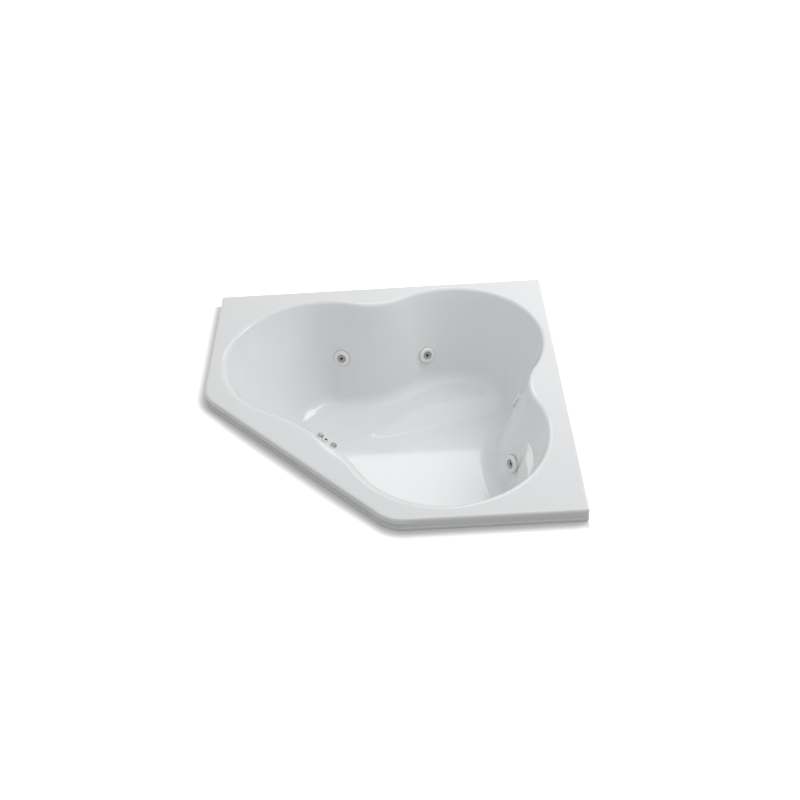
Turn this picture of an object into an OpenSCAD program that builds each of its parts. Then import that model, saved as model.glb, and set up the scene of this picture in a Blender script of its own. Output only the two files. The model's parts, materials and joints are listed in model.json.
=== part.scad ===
/* [Rim] */
// Length of each of the two wall sides of the rim
side = 1372; // [1360:1:1460]
// Length of each side between a square corner and the front diagonal
wing = 670; // [640:1:700]
// Height of the rim top above the floor
rim_h = 520; // [510:1:600]
// Height of the turned-down edge of the rim
edge_h = 50; // [40:1:60]
// Radius along the top of the rim's outer edge
edge_r = 8; // [5:1:9]
// Radius in plan of the two front corners
front_corner_r = 130; // [90:1:140]
// Radius in plan of the three square corners
square_corner_r = 12; // [10:1:20]
// How far the lip at the foot of the edge stands proud
lip_out = 1.5; // [1:0.5:3]
// Height of that lip
lip_h = 12; // [8:1:16]

/* [Basin] */
// Radius of each of the three lobes where the rim starts to turn down
lobe_r = 392; // [385:1:396]
// Distance from the room corner to the centre of the corner lobe, along the diagonal
corner_lobe_q = 572; // [565:1:585]
// Distance from the room corner to the centres of the side lobes, along the diagonal
side_lobe_q = 985; // [975:1:990]
// Distance of each side lobe's centre from the diagonal
side_lobe_w = 347; // [340:1:352]
// Radius that blends the corner lobe into each side lobe
side_blend_r = 208; // [190:1:240]
// Radius that blends the two side lobes along the front
front_blend_r = 858; // [800:1:900]
// Height of the basin's floor above the room's floor
floor_z = 85; // [78:1:95]
// Radius where the rim rolls down into the wall
roll_r = 35; // [28:1:38]
// Radius where the wall runs into the basin's floor
base_r = 70; // [50:1:75]
// Slope of the walls from upright
wall_draft = 18; // [15:1:20]
// How much further in the foot of each backrest lies
back_run = 105; // [80:1:120]
// How much further out the foot of the front wall lies
front_run = 65; // [60:1:70]
// Thickness of the shell
shell_t = 8; // [6:0.5:9]
// Height of the moulded step along the back of the corner lobe
step_h = 40; // [30:1:50]
// How far the front face of the step slopes forward
step_run = 90; // [70:1:100]
// Depth below the rim top of the armrest
arm_depth = 150; // [130:1:170]
// Width of the armrest at its middle
arm_w = 32; // [20:1:40]

/* [Jets] */
// Radius of each jet's flange
jet_flange_r = 36; // [34:1:38]
// Radius of the hole for a jet
jet_bore_r = 22; // [21:0.5:24]
// Radius of the trim ring that turns to open a jet
jet_ring_r = 34; // [30:1:35]
// Radius of the ball of a nozzle
ball_r = 16.5; // [15:0.5:17]
// Outer radius of the water pipes
pipe_r = 10.4; // [9:0.1:10.4]
// Outer radius of the air tubes
air_tube_r = 3.9; // [3:0.1:3.9]

/* [Waste] */
// Distance from the room corner to the drain, along the diagonal
drain_q = 1118; // [1095:1:1122]
// Radius of the drain's flange
drain_flange_r = 43; // [36:1:45]
// How far the stopper lifts
stopper_lift = 12; // [8:1:16]
// Outer radius of the horizontal waste pipe and the tailpiece
waste_r = 19.05; // [18:0.05:20]
// Outer radius of the overflow's standpipe
stand_r = 18.5; // [17:0.05:18.9]
// Depth of the overflow below the rim top
overflow_depth = 110; // [100:1:130]

/* [Pump] */
// Height of the pump's shaft above the base board
pump_rise = 98; // [95:1:108]
// Radius of the pump's casing
volute_r = 80; // [76:1:84]
// Radius of the motor
motor_r = 68; // [60:1:70]
// Bore of the gland for the supply cord
gland_bore_r = 4; // [3:0.5:5]

/* [Supports] */
// Thickness of the base board
board_t = 18; // [12:1:20]
// Radius of each foot
foot_r = 26; // [20:1:32]
// Thickness of the battens under the rim
batten_t = 12; // [9:1:18]

/* [Hidden] */
$fn = 64;
half = side/2;
root2 = sqrt(2);
hub_q = 850;
floor_q = 930;
front_q = (side + wing)/root2;
basin_depth = rim_h - floor_z;
edge_z = rim_h - edge_h;

// A point in plan from its distance along the diagonal and its distance beside it
function plan(q, w) = [half + (w - q)/root2, half - (w + q)/root2];
function ray(p) = [-cos(p), sin(p)];
function ray_angle(c) = atan2(c[1], hub_q - c[0]);
// Distance along a ray from the hub to a circle, its far side or its near one
function reach(c, r, p, far = true) =
    let (m = [hub_q, 0] - c, b = m*ray(p), s = sqrt(b*b - m*m + r*r)) far ? s - b : -s - b;

// The rim's outer boundary, drawn in by an inset
front_corner_c = let (q = front_q - front_corner_r)
    [q, root2*(side - front_corner_r) - q];
square_corner_c = [side/root2, (side - 2*square_corner_r)/root2];
room_corner_c = [square_corner_r*root2, 0];
room_tangent = ray_angle(room_corner_c + square_corner_r*[-1, 1]/root2);
square_tangents = [ray_angle(square_corner_c + square_corner_r*[-1, 1]/root2),
    ray_angle(square_corner_c + square_corner_r*[1, 1]/root2)];
front_tangents = [ray_angle(front_corner_c + front_corner_r*[1, 1]/root2),
    ray_angle(front_corner_c + [front_corner_r, 0])];
rim_edges = [[[-1, 1]/root2, hub_q/root2], [[1, 1]/root2, side - hub_q/root2], [[1, 0], front_q - hub_q]];
rim_corners = [[room_corner_c, square_corner_r, [-1, -1]/root2, [-1, 1]/root2],
    [square_corner_c, square_corner_r, [-1, 1]/root2, [1, 1]/root2],
    [front_corner_c, front_corner_r, [1, 1]/root2, [1, 0]]];
function edge_reach(p, inset) =
    min([for (e = rim_edges) let (k = ray(p)*e[0]) if (k > 0.01) (e[1] - inset)/k]);
function rim_reach(p, inset) = let (k = edge_reach(p, inset), m = [hub_q, 0] + k*ray(p),
        round = [for (c = rim_corners) let (v = m - c[0]) if (cross(c[2], v) < 0 && cross(v, c[3]) < 0) c])
    len(round) == 0 ? k : reach(round[0][0], round[0][1] - inset, p);

// The basin's outline: three lobes and the blends between them
corner_lobe_c = [corner_lobe_q, 0];
side_lobe_c = [side_lobe_q, side_lobe_w];
lobe_gap = norm(side_lobe_c - corner_lobe_c);
side_blend_c = let (v = (side_lobe_c - corner_lobe_c)/lobe_gap)
    (corner_lobe_c + side_lobe_c)/2 + [-v[1], v[0]]*sqrt(pow(lobe_r + side_blend_r, 2) - pow(lobe_gap/2, 2));
front_blend_c = [side_lobe_q + sqrt(pow(lobe_r + front_blend_r, 2) - pow(side_lobe_w, 2)), 0];
function towards(a, b, r) = a + (b - a)/norm(b - a)*r;
blend_angles = [ray_angle(towards(side_blend_c, corner_lobe_c, side_blend_r)),
    ray_angle(towards(side_blend_c, side_lobe_c, side_blend_r)),
    ray_angle(towards(front_blend_c, side_lobe_c, front_blend_r))];
function outline_reach(p) =
    p <= blend_angles[0] ? reach(corner_lobe_c, lobe_r, p)
    : p <= blend_angles[1] ? reach(side_blend_c, side_blend_r, p, false)
    : p <= blend_angles[2] ? reach(side_lobe_c, lobe_r, p)
    : reach(front_blend_c, front_blend_r, p, false);
function outline_point(p) = [hub_q, 0] + outline_reach(p)*ray(p);
function outline_normal(p) = let (m = outline_point(p))
    p <= blend_angles[0] ? (m - corner_lobe_c)/lobe_r
    : p <= blend_angles[1] ? (side_blend_c - m)/side_blend_r
    : p <= blend_angles[2] ? (m - side_lobe_c)/lobe_r
    : (front_blend_c - m)/front_blend_r;

function ease(t) = let (u = min(1, max(0, t))) u*u*(3 - 2*u);
// How much of the backrest's slope a station has
function recline(p) = ease((p - 60)/40)*(1 - ease((p - 125)/50));
// How much steeper than the rest the front wall stands at a station
function forward(p) = ease((p - 130)/35);
// Depth below the rim top as a share of the way to the floor
function sunk(d) = min(1, max(0, (d - roll_r)/(basin_depth - roll_r)));

// Inset from the outline at a depth on the straight stretch of the wall
fall = 90 - wall_draft;
function wall_inset(d, t = 0) = let(r = roll_r - t) r*sin(fall) + (d - roll_r + r*cos(fall))/tan(fall);

// Step in the corner lobe: its front edge is one straight line that crosses the diagonal, and it
// fades out over these rays at its two ends. Here a ray on the left of the diagonal is negative
step_fade = [[-66, -44], [2, 15]];
step_join = [[-66, -50], [-2, 3]];
step_foot_join = [[-66, -50], [9, 15]];
step_tip_q = 414;
step_slope = 33.4;
function fade_between(p, ends) = ease((p - ends[0][0])/(ends[0][1] - ends[0][0]))
    *(1 - ease((p - ends[1][0])/(ends[1][1] - ends[1][0])));
function step_share(p) = fade_between(p, step_fade);
function step_reach(p, out) = (hub_q - step_tip_q - out/sin(step_slope))*tan(step_slope)
    /max(0.3, tan(step_slope)*cos(p) - sin(p));

// Armrest: how far it bulges into the basin
arm_span = [66, 94];
function arm_out(p, sgn) = sgn < 0 || p < arm_span[0] || p > arm_span[1] ? 0
    : arm_w*pow(sin(180*(p - arm_span[0])/(arm_span[1] - arm_span[0])), 2);

// The basin's profile at a station as [inset, depth] pairs, from the roll down to the floor
function profile(p, sgn, t) = let (
        r = roll_r - t, b = base_r + t, share = step_share(sgn*p), d = basin_depth - step_h*share,
        base_c = wall_inset(d - base_r*(1 - cos(fall))) + base_r*sin(fall),
        arm = t > 0 ? 0 : arm_out(p, sgn))
    concat(
        [for (k = t > 0 ? [1/2, 1] : [1/3, 2/3, 1]) [r*sin(fall*k), roll_r - r*cos(fall*k)]],
        t > 0 ? [[wall_inset(arm_depth, t), arm_depth]]
            : [[wall_inset(arm_depth), arm_depth], [wall_inset(arm_depth + 3) + arm, arm_depth + 3],
            [wall_inset(arm_depth + 12) + arm, arm_depth + 12]],
        [for (k = t > 0 ? [1, 1/2] : [1, 2/3, 1/3]) [base_c - b*sin(fall*k), d - base_r + b*cos(fall*k)]],
        [[base_c, d + t]]);

// Stations: rays that hit each corner's ends, and even steps between
function steps(a, b, n) = [for (i = [0 : n - 1]) a + (b - a)*i/n];
half_rays = concat([0], steps(room_tangent, square_tangents[0], 26),
    steps(square_tangents[0], square_tangents[1], 2), steps(square_tangents[1], front_tangents[0], 9),
    steps(front_tangents[0], front_tangents[1], 5), steps(front_tangents[1], 180, 10), [180]);
last = len(half_rays) - 1;
stations = concat([for (p = half_rays) [p, 1]], [for (i = [last - 1 : -1 : 1]) [half_rays[i], -1]]);

function rim_point(s, inset, z) = let (k = rim_reach(s[0], inset), m = [hub_q, 0] + k*ray(s[0]))
    concat(plan(m[0], s[1]*m[1]), z);
function basin_plan(p, e) = outline_point(p) - outline_normal(p)*e[0]
    - [1, 1]/root2*back_run*recline(p)*sunk(e[1]) + [1, 0]*front_run*forward(p)*sunk(e[1]);
function basin_point(s, e) = let (m = basin_plan(s[0], e)) concat(plan(m[0], s[1]*m[1]), rim_h - e[1]);
// A point along the front of the step, or where it has faded out, further in on the floor
function step_point(s, e, out, t) = let (p = s[0], share = step_share(s[1]*p),
        k = fade_between(s[1]*p, out == 0 ? step_join : step_foot_join),
        far = basin_plan(p, [e[0] + (out == 0 ? 4 : 42), e[1]]),
        near = [hub_q, 0] + step_reach(s[1]*p, out - t/2)*ray(p), m = (1 - k)*far + k*near)
    concat(plan(m[0], s[1]*m[1]), rim_h - t - (out == 0 ? basin_depth - step_h*share : basin_depth));
function section(s) = concat(
    [rim_point(s, 0, edge_z), rim_point(s, 0, edge_z + lip_h),
        rim_point(s, lip_out, edge_z + lip_h + lip_out), rim_point(s, lip_out, rim_h - edge_r),
        rim_point(s, lip_out + 0.3*edge_r, rim_h - 0.3*edge_r),
        rim_point(s, lip_out + edge_r, rim_h), basin_point(s, [0, 0])],
    let (u = profile(s[0], s[1], 0), e = u[len(u) - 1])
        concat([for (e = u) basin_point(s, e)], [step_point(s, e, 0, 0), step_point(s, e, step_run, 0)]));
function underside(s) = concat(
    let (u = profile(s[0], s[1], shell_t), e = u[len(u) - 1]) concat(
        [step_point(s, e, step_run, shell_t), step_point(s, e, 0, shell_t)],
        [for (i = [len(u) - 1 : -1 : 0]) basin_point(s, u[i])]),
    [basin_point(s, [0, shell_t]), rim_point(s, shell_t, rim_h - shell_t), rim_point(s, shell_t, edge_z)]);

// Frames on the basin's wall: the origin, then axes down the wall, along it and into the basin.
// A place on the wall is a ray from -180 to 180, positive on the right, and a depth
function wall_at(p, d) = basin_point([abs(p), p < 0 ? -1 : 1], [wall_inset(d), d]);
function roll_at(p, k) = basin_point([abs(p), p < 0 ? -1 : 1], [roll_r*sin(k), roll_r - roll_r*cos(k)]);
function unit(v) = v/norm(v);
function frame_of(m, n) = let (b = acos(n[2]), g = atan2(n[1], n[0]))
    [m, [cos(b)*cos(g), cos(b)*sin(g), -sin(b)], [-sin(g), cos(g), 0], n];
function wall_frame(p, d) = let (down = wall_at(p, d + 1) - wall_at(p, d - 1),
        side = wall_at(p + 0.2, d) - wall_at(p - 0.2, d)) frame_of(wall_at(p, d), unit(cross(down, side)));
function roll_frame(p, k) = let (down = roll_at(p, k + 1) - roll_at(p, k - 1),
        side = roll_at(p + 0.2, k) - roll_at(p - 0.2, k)) frame_of(roll_at(p, k), unit(cross(down, side)));
function at(f, v) = f[0] + v[0]*f[1] + v[1]*f[2] + v[2]*f[3];
module put(f) translate(f[0]) rotate([0, acos(f[3][2]), atan2(f[3][1], f[3][0])]) children();
module ring(r_out, r_in, z0, z1) translate([0, 0, z0]) difference() {
    cylinder(r = r_out, h = z1 - z0);
    translate([0, 0, -1]) cylinder(r = r_in, h = z1 - z0 + 2);
}
module rod(r, z0, z1) translate([0, 0, z0]) cylinder(r = r, h = z1 - z0);
module along(r, y0, y1) translate([0, y0, 0]) rotate([-90, 0, 0]) cylinder(r = r, h = y1 - y0);

// A smooth run of tube through a list of points
function spline(c, i, t) =
    let (a = c[max(0, i - 1)], b = c[i], d = c[i + 1], e = c[min(len(c) - 1, i + 2)])
    0.5*(2*b + (d - a)*t + (2*a - 5*b + 4*d - e)*t*t + (3*b - a - 3*d + e)*t*t*t);
function run(c, k) = concat([c[0]], [for (i = [1 : len(c) - 3], t = [0 : 1/k : 0.999]) spline(c, i, t)],
    [c[len(c) - 2], c[len(c) - 1]]);
module tube(path, r_out, r_in, sides) {
    n = len(path);
    dirs = [for (i = [0 : n - 1]) unit(path[min(n - 1, i + 1)] - path[max(0, i - 1)])];
    points = [for (i = [0 : n - 1], r = [r_out, r_in], j = [0 : sides - 1])
        let (a = unit(cross(dirs[i], [0.02, 0.03, 1])), b = cross(a, dirs[i]), g = 360*j/sides)
        path[i] + r*(cos(g)*a + sin(g)*b)];
    function id(i, k, j) = (2*i + k)*sides + j%sides;
    polyhedron(points, concat(
        [for (i = [0 : n - 2], j = [0 : sides - 1]) each [
            [id(i, 0, j), id(i, 0, j + 1), id(i + 1, 0, j + 1)],
            [id(i, 0, j), id(i + 1, 0, j + 1), id(i + 1, 0, j)],
            [id(i, 1, j + 1), id(i, 1, j), id(i + 1, 1, j + 1)],
            [id(i + 1, 1, j + 1), id(i, 1, j), id(i + 1, 1, j)]]],
        [for (j = [0 : sides - 1]) each [
            [id(0, 0, j + 1), id(0, 0, j), id(0, 1, j)], [id(0, 0, j + 1), id(0, 1, j), id(0, 1, j + 1)],
            [id(n - 1, 0, j), id(n - 1, 0, j + 1), id(n - 1, 1, j)],
            [id(n - 1, 1, j), id(n - 1, 0, j + 1), id(n - 1, 1, j + 1)]]]));
}

// Jets, numbered clockwise from the left lobe: the ray and depth of each, and how far it is lifted
// off the curved wall so that its flange seats flat on its pad
jet_rays = [-70.5, -39, 44, 66, 150, -150];
jet_depths = [240, 270, 215, 285, 255, 255];
jet_lifts = [0.3, 0, 0, 3, 0.8, 0.8];
jets = [for (i = [0 : 5]) let (f = wall_frame(jet_rays[i], jet_depths[i]))
    [at(f, [0, 0, jet_lifts[i]]), f[1], f[2], f[3]]];
pad_out = 3.2;
pad_back = -15;
gasket_back = pad_back - 3;
ball_z = -8;
barrel_z = -48;
air_x = -44;
air_z = -32;
suction = wall_frame(-168, basin_depth - 103);
suction_screw_r = 40;
overflow = wall_frame(179.99, overflow_depth);
overflow_bore_r = 18;
roll_lean = 42;
left_control = roll_frame(178.9, roll_lean);
button = roll_frame(175.3, roll_lean);
right_control = roll_frame(170.4, roll_lean);
drain = concat(plan(drain_q, 0), 0);
tee_ray = -118.6;
board_top = floor_z - shell_t;
pump_z = board_top + pump_rise;
tee_z = pump_z + 130;
tee_p = let (f = wall_frame(tee_ray, rim_h - tee_z)) at(f, [0, 0, barrel_z]);
tee_turn = let (f = wall_frame(tee_ray, rim_h - tee_z)) atan2(-f[2][0], f[2][1]);
tee = [[tee_p[0], tee_p[1], tee_z], [cos(tee_turn), sin(tee_turn), 0],
    [-sin(tee_turn), cos(tee_turn), 0], [0, 0, 1]];

module tub_shell() color("white") difference() {
    union() {
        rings = [for (s = stations) concat(section(s), underside(s))];
        n = len(rings);
        m = len(rings[0]);
        top_floor = len(section(stations[0])) - 1;
        middle = plan(floor_q, 0);
        points = concat([for (r = rings, v = r) v],
            [concat(middle, floor_z), concat(middle, floor_z - shell_t)]);
        polyhedron(points, concat(
            [for (i = [0 : n - 1], j = [0 : m - 1]) if (j != top_floor)
                let (a = i*m + j, b = i*m + (j + 1)%m, c = ((i + 1)%n)*m + (j + 1)%m, d = ((i + 1)%n)*m + j)
                each i < n/2 ? [[a, c, b], [a, d, c]] : [[a, d, b], [b, d, c]]],
            [for (i = [0 : n - 1]) [i*m + top_floor, ((i + 1)%n)*m + top_floor, n*m]],
            [for (i = [0 : n - 1]) [i*m + top_floor + 1, n*m + 1, ((i + 1)%n)*m + top_floor + 1]]));
        for (f = jets) put(f) rod(jet_flange_r + 3, pad_back, pad_out);
        put(suction) rod(52, pad_back, pad_out);
        put(overflow) rod(38, pad_back, pad_out);
        for (f = [left_control, button, right_control]) put(f) rod(15, pad_back, 1);
    }
    for (f = jets) put(f) rod(jet_bore_r, -30, 20);
    put(suction) rod(30, -40, 30);
    put(suction) for (g = [45 : 90 : 315]) rotate(g) translate([suction_screw_r, 0, 0]) rod(3, -30, 20);
    put(overflow) rod(overflow_bore_r, -30, 20);
    for (f = [left_control, button, right_control]) put(f) rod(9, -30, 20);
    translate(drain) rod(26, floor_z - 20, floor_z + 10);
}

board_z = board_top - board_t;
pump_x = tee_p[0] - 33;
pump_y = tee_p[1] - 290;
foot_spots = [[half - 971, half - 761], [half - 761, half - 971], [half - 336, half - 966],
    [half - 336, half - 336], [half - 636, half - 636], [half - 966, half - 336],
    [pump_x - 65, pump_y + 215], [pump_x - 65, pump_y + 605], [pump_x + 245, pump_y + 605]];
pump_foot_spots = [for (x = [-55, 55], y = [360, 510]) [pump_x + x, pump_y + y]];
waste_z = 48;
stand_q = let (m = at(overflow, [0, 0, -40])) (side - m[0] - m[1])/root2;
tail_l = 24;
module diagonal(q0, q1, w, z0, z1) translate(concat(plan(q0, 0), z0)) rotate(-135)
    translate([0, -w/2, 0]) cube([q1 - q0, w, z1 - z0]);

module base_board() color("burlywood") difference() {
    translate([0, 0, board_z]) linear_extrude(board_t) polygon([[half - 290, half - 1010],
        [half - 290, half - 290], [pump_x + 275, half - 290], [pump_x + 275, pump_y + 630],
        [pump_x - 90, pump_y + 630], [pump_x - 90, pump_y + 190], [half - 1010, pump_y + 190],
        [half - 1010, half - 790], [half - 790, half - 1010]]);
    translate(drain) rod(40, 0, board_top + 1);
    diagonal(drain_q, stand_q + 82, 2*waste_r + 14, board_z - 1, board_top + 1);
    for (m = pump_foot_spots) translate(m) rod(4.05, board_z + 2, board_top + 1);
}
module support_feet() color("dimgray") for (m = foot_spots) translate(m) rotate_extrude()
    polygon([[0, 0], [foot_r + 8, 0], [foot_r + 8, 5], [foot_r, 9], [foot_r - 3, board_z], [0, board_z]]);
module rim_battens() color("burlywood") translate([0, 0, rim_h - shell_t - batten_t])
    linear_extrude(batten_t) {
        for (t = [0, 1]) mirror([t, -t]) {
            translate([half - 791, half - 71]) square([150, 57]);
            polygon([[18 - half, half - 18], [18 - half, half - 176], [236 - half, half - 18]]);
        }
        polygon([plan(front_q - 66, -230), plan(front_q - 66, 230), plan(front_q - 14, 230),
            plan(front_q - 14, -230)]);
    }

// One jet: the body behind the wall, its gasket, the fitting through the wall, ring and nozzle
module jet_body(lower, upper, air_lower, air_upper) difference() {
    union() {
        rod(jet_flange_r, gasket_back - 5, gasket_back);
        rod(26, barrel_z - 14, gasket_back);
        translate([0, 0, barrel_z]) along(14.5, lower ? -42 : 0, upper ? 42 : 0);
        translate([air_x, 0, air_z]) along(7, -20, 20);
        translate([0, 0, air_z]) rotate([0, -90, 0]) rod(5.5, 0, -air_x);
    }
    rod(jet_bore_r - 0.05, gasket_back - 18, gasket_back + 1);
    rod(11, barrel_z - 10, gasket_back);
    translate([0, 0, barrel_z]) along(pipe_r + 0.1, lower ? -50 : 0, upper ? 50 : 0);
    translate([air_x, 0, air_z]) along(air_tube_r + 0.1, air_lower ? -30 : 0, air_upper ? 30 : 0);
    translate([0, 0, air_z]) rotate([0, -90, 0]) rod(2.5, 15, -air_x);
}
module jet_bodies() color("gainsboro") for (i = [0 : 5]) put(jets[i])
    jet_body(i != 5, i != 4, i != 2, i != 1);
module jet_gaskets() color("black") for (f = jets) put(f)
    ring(jet_flange_r - 2, jet_bore_r + 0.2, gasket_back, pad_back);
module jet_wall_fittings() color("white") for (f = jets) put(f) rotate_extrude()
    polygon([[jet_bore_r - 3.5, pad_out + 4], [jet_bore_r - 3.5, -26], [14, -28], [14, -30],
        [jet_bore_r - 0.1, -30], [jet_bore_r - 0.1, pad_out], [jet_flange_r, pad_out],
        [jet_flange_r, pad_out + 2], [jet_flange_r - 2, pad_out + 4]]);
module jet_ring(i) color("white") put(jets[i]) difference() {
    union() {
        rotate_extrude() polygon([[0, -16], [jet_bore_r - 3.55, -16], [jet_bore_r - 3.55, pad_out + 4.2],
            [jet_ring_r, pad_out + 4.2], [jet_ring_r, pad_out + 6], [jet_ring_r - 2.5, pad_out + 9],
            [jet_ring_r - 7, pad_out + 10.5], [0, pad_out + 10.5]]);
        for (g = [90, 210, 330]) rotate(g) translate([jet_ring_r - 7, 0, 0])
            rod(3.5, pad_out + 8, pad_out + 12.5);
    }
    rod(ball_r + 0.1, -20, ball_z);
    translate([0, 0, ball_z]) sphere(ball_r + 0.1);
    translate([0, 0, 2]) cylinder(r1 = 12.5, r2 = 20, h = 12);
}
module jet_nozzle(i) color("silver") put(jets[i]) difference() {
    union() {
        intersection() {
            translate([0, 0, ball_z]) sphere(ball_r);
            rod(30, ball_z - 11, ball_z + 12.5);
        }
        translate([0, 0, ball_z + 8]) cylinder(r1 = 8.5, r2 = 7, h = 9);
    }
    rod(4.5, ball_z - 20, ball_z + 30);
    translate([0, 0, ball_z - 12]) cylinder(r1 = 11, r2 = 4.5, h = 10);
}
module jet_ring_1() jet_ring(0);
module jet_ring_2() jet_ring(1);
module jet_ring_3() jet_ring(2);
module jet_ring_4() jet_ring(3);
module jet_ring_5() jet_ring(4);
module jet_ring_6() jet_ring(5);
module jet_nozzle_1() jet_nozzle(0);
module jet_nozzle_2() jet_nozzle(1);
module jet_nozzle_3() jet_nozzle(2);
module jet_nozzle_4() jet_nozzle(3);
module jet_nozzle_5() jet_nozzle(4);
module jet_nozzle_6() jet_nozzle(5);

// Suction fitting low on the front wall
module suction_cover() color("white") put(suction) difference() {
    rotate_extrude() polygon([[0, pad_out + 10], [0, pad_out + 14], [22, pad_out + 13], [38, pad_out + 9.5],
        [48, pad_out + 4], [50, pad_out], [34, pad_out], [30, pad_out + 5], [16, pad_out + 9]]);
    for (r = [11 : 9 : 29], g = [0 : 3600/r/3 : 359]) rotate(g) translate([r, 0, 0]) rod(2, 0, 30);
    for (g = [45 : 90 : 315]) rotate(g) translate([suction_screw_r, 0, 0]) rod(2.7, -5, 30);
    for (g = [45 : 90 : 315]) rotate(g) translate([suction_screw_r, 0, 0]) rod(5.2, pad_out + 4, 30);
}
module suction_body() color("gainsboro") put(suction) difference() {
    union() {
        rod(50, gasket_back - 8, gasket_back);
        rod(30, barrel_z - 26, gasket_back);
        translate([0, 0, barrel_z]) along(25, 0, 55);
    }
    rod(26, barrel_z - 21, gasket_back + 1);
    translate([0, 0, barrel_z]) along(20, 0, 60);
    for (g = [45 : 90 : 315]) rotate(g) translate([suction_screw_r, 0, 0]) rod(2.55, gasket_back - 7, 0);
}
module suction_gasket() color("black") put(suction) difference() {
    ring(50, 32, gasket_back, pad_back);
    for (g = [45 : 90 : 315]) rotate(g) translate([suction_screw_r, 0, 0]) rod(2.7, gasket_back - 5, 0);
}
module suction_screws() color("silver") put(suction) for (g = [45 : 90 : 315]) rotate(g)
    translate([suction_screw_r, 0, 0]) {
        rod(2.5, gasket_back - 6, pad_out + 4);
        rod(5, pad_out + 4, pad_out + 7);
    }

// Water pipes from one jet to the next, and the tee that feeds them
function lerp(a, b, t) = a + (b - a)*t;
function behind(p, d, back, lift) = let (f = wall_frame(p, d)) at(f, [0, 0, back]) + [0, 0, lift];
function between(p0, p1, d0, d1, back, lift, sag) = [for (t = [0.22 : 0.14 : 0.79])
    behind(lerp(p0, p1, t), lerp(d0, d1, t), back, lift + sag*sin(180*t))];
function spigot(f, x, z, y0, y1) = [at(f, [x, y0, z]), at(f, [x, y1, z])];
function jet_run(i, j) = concat(spigot(jets[i], 0, barrel_z, 28, 50),
    between(jet_rays[i], jet_rays[j], jet_depths[i], jet_depths[j], barrel_z, 0, 0),
    spigot(jets[j], 0, barrel_z, -50, -28));
module pipe(c) color("whitesmoke") tube(run(c, 2), pipe_r, pipe_r - 2, 10);
module water_pipe_1() pipe(concat(spigot(jets[5], 0, barrel_z, 28, 50),
    [for (t = [0.35, 0.6]) behind(lerp(-150, tee_ray, t), lerp(255, rim_h - tee_z, t), barrel_z, 0)],
    spigot(tee, 0, 0, -50, -18)));
module water_pipe_2() pipe(concat(spigot(tee, 0, 0, 18, 50),
    [for (t = [0.3, 0.5, 0.7]) behind(lerp(tee_ray, -70.5, t), lerp(rim_h - tee_z, 240, t), barrel_z, 0)],
    spigot(jets[0], 0, barrel_z, -50, -28)));
module water_pipe_3() pipe(jet_run(0, 1));
module water_pipe_4() pipe(jet_run(1, 2));
module water_pipe_5() pipe(concat(spigot(jets[2], 0, barrel_z, 28, 50),
    [behind(55.5, 252, barrel_z - 3, 0)], spigot(jets[3], 0, barrel_z, -50, -28)));
module water_pipe_6() pipe(jet_run(3, 4));
module at_tee() translate(tee[0]) rotate(tee_turn) children();
module feed_tee() color("gainsboro") difference() {
    union() {
        at_tee() along(15, -32, 32);
        translate(tee[0]) rod(15, -32, 0);
        translate(tee[0]) rod(22, -40, -32);
    }
    at_tee() along(pipe_r + 0.1, -40, 40);
    translate(tee[0]) rod(11, -50, 0);
}
port_top = tee_z - 40;
module discharge_union() color("dimgray") translate([tee[0][0], tee[0][1], port_top - 8]) difference() {
    cylinder(r = 28, h = 24, $fn = 8);
    rod(22.1, -1, 16.2);
    rod(15.6, 10, 30);
}
module suction_pipe() color("whitesmoke") tube(run(concat(spigot(suction, 0, barrel_z, 30, 62),
    [behind(-157, basin_depth - 90, -62, 0), behind(-149, basin_depth - 87, -66, 0)],
    [for (v = [[97, 12, -4], [27, 62, 0], [0, 130, 0], [0, 216, 0]]) [pump_x, pump_y, pump_z] + v]), 3),
    19.9, 16.5, 12);

// Air tubes, from each control to three jets
function air_run(i, j, sag) = concat(spigot(jets[i], air_x, air_z, 10, 26),
    between(jet_rays[i], jet_rays[j], jet_depths[i] - 42, jet_depths[j] - 42, air_z - 6, 0, sag),
    spigot(jets[j], air_x, air_z, -26, -10));
module hose(c) tube(run(c, 2), air_tube_r, air_tube_r - 1.5, 6);
module air_tubes_left() color("lightsteelblue") {
    hose(concat([at(left_control, [0, 0, -34]), at(left_control, [0, 0, -60]), behind(-177, 80, -62, 0),
        behind(-170, 120, -70, 0), behind(-160, 190, -52, 0)], spigot(jets[5], air_x, air_z, -26, -10)));
    hose(air_run(5, 0, 45));
    hose(air_run(0, 1, 0));
}
module air_tubes_right() color("lightsteelblue") {
    hose(concat([at(right_control, [0, 0, -34]), at(right_control, [0, 0, -60]), behind(168, 100, -66, 0),
        behind(160, 180, -54, 0)], spigot(jets[4], air_x, air_z, 26, 10)));
    hose(air_run(3, 4, 10));
    hose(concat(spigot(jets[2], air_x, air_z, 10, 26), [behind(55.5, 212, air_z - 6, 0)],
        spigot(jets[3], air_x, air_z, -26, -10)));
}

// Controls on the rim's inner roll at the front
module air_body() rotate_extrude() polygon([[3.05, 3.5], [3.05, -20], [2.4, -22], [2.4, -30], [4, -32],
    [4, -46], [8.9, -46], [8.9, 1], [13, 1], [13, 2.5], [12, 3.5]]);
module air_control_bodies() color("gainsboro") {
    put(left_control) air_body();
    put(right_control) air_body();
}
module air_knob(r) {
    rod(3, -12, 5);
    difference() {
        rotate_extrude() polygon([[0, 4], [r, 4], [r, 10], [r - 2, 13], [0, 14]]);
        translate([r - 3.5, 0, 11]) rod(1.4, 0, 6);
    }
}
module left_air_knob() color("silver") put(left_control) air_knob(11.5);
module right_air_knob() color("silver") put(right_control) air_knob(11.5);
module fitting_nuts() color("gainsboro") for (f = [left_control, button, right_control]) put(f) difference() {
    translate([0, 0, pad_back - 6]) cylinder(r = 14, h = 6, $fn = 6);
    rod(8.95, pad_back - 8, pad_back + 2);
}
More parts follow.
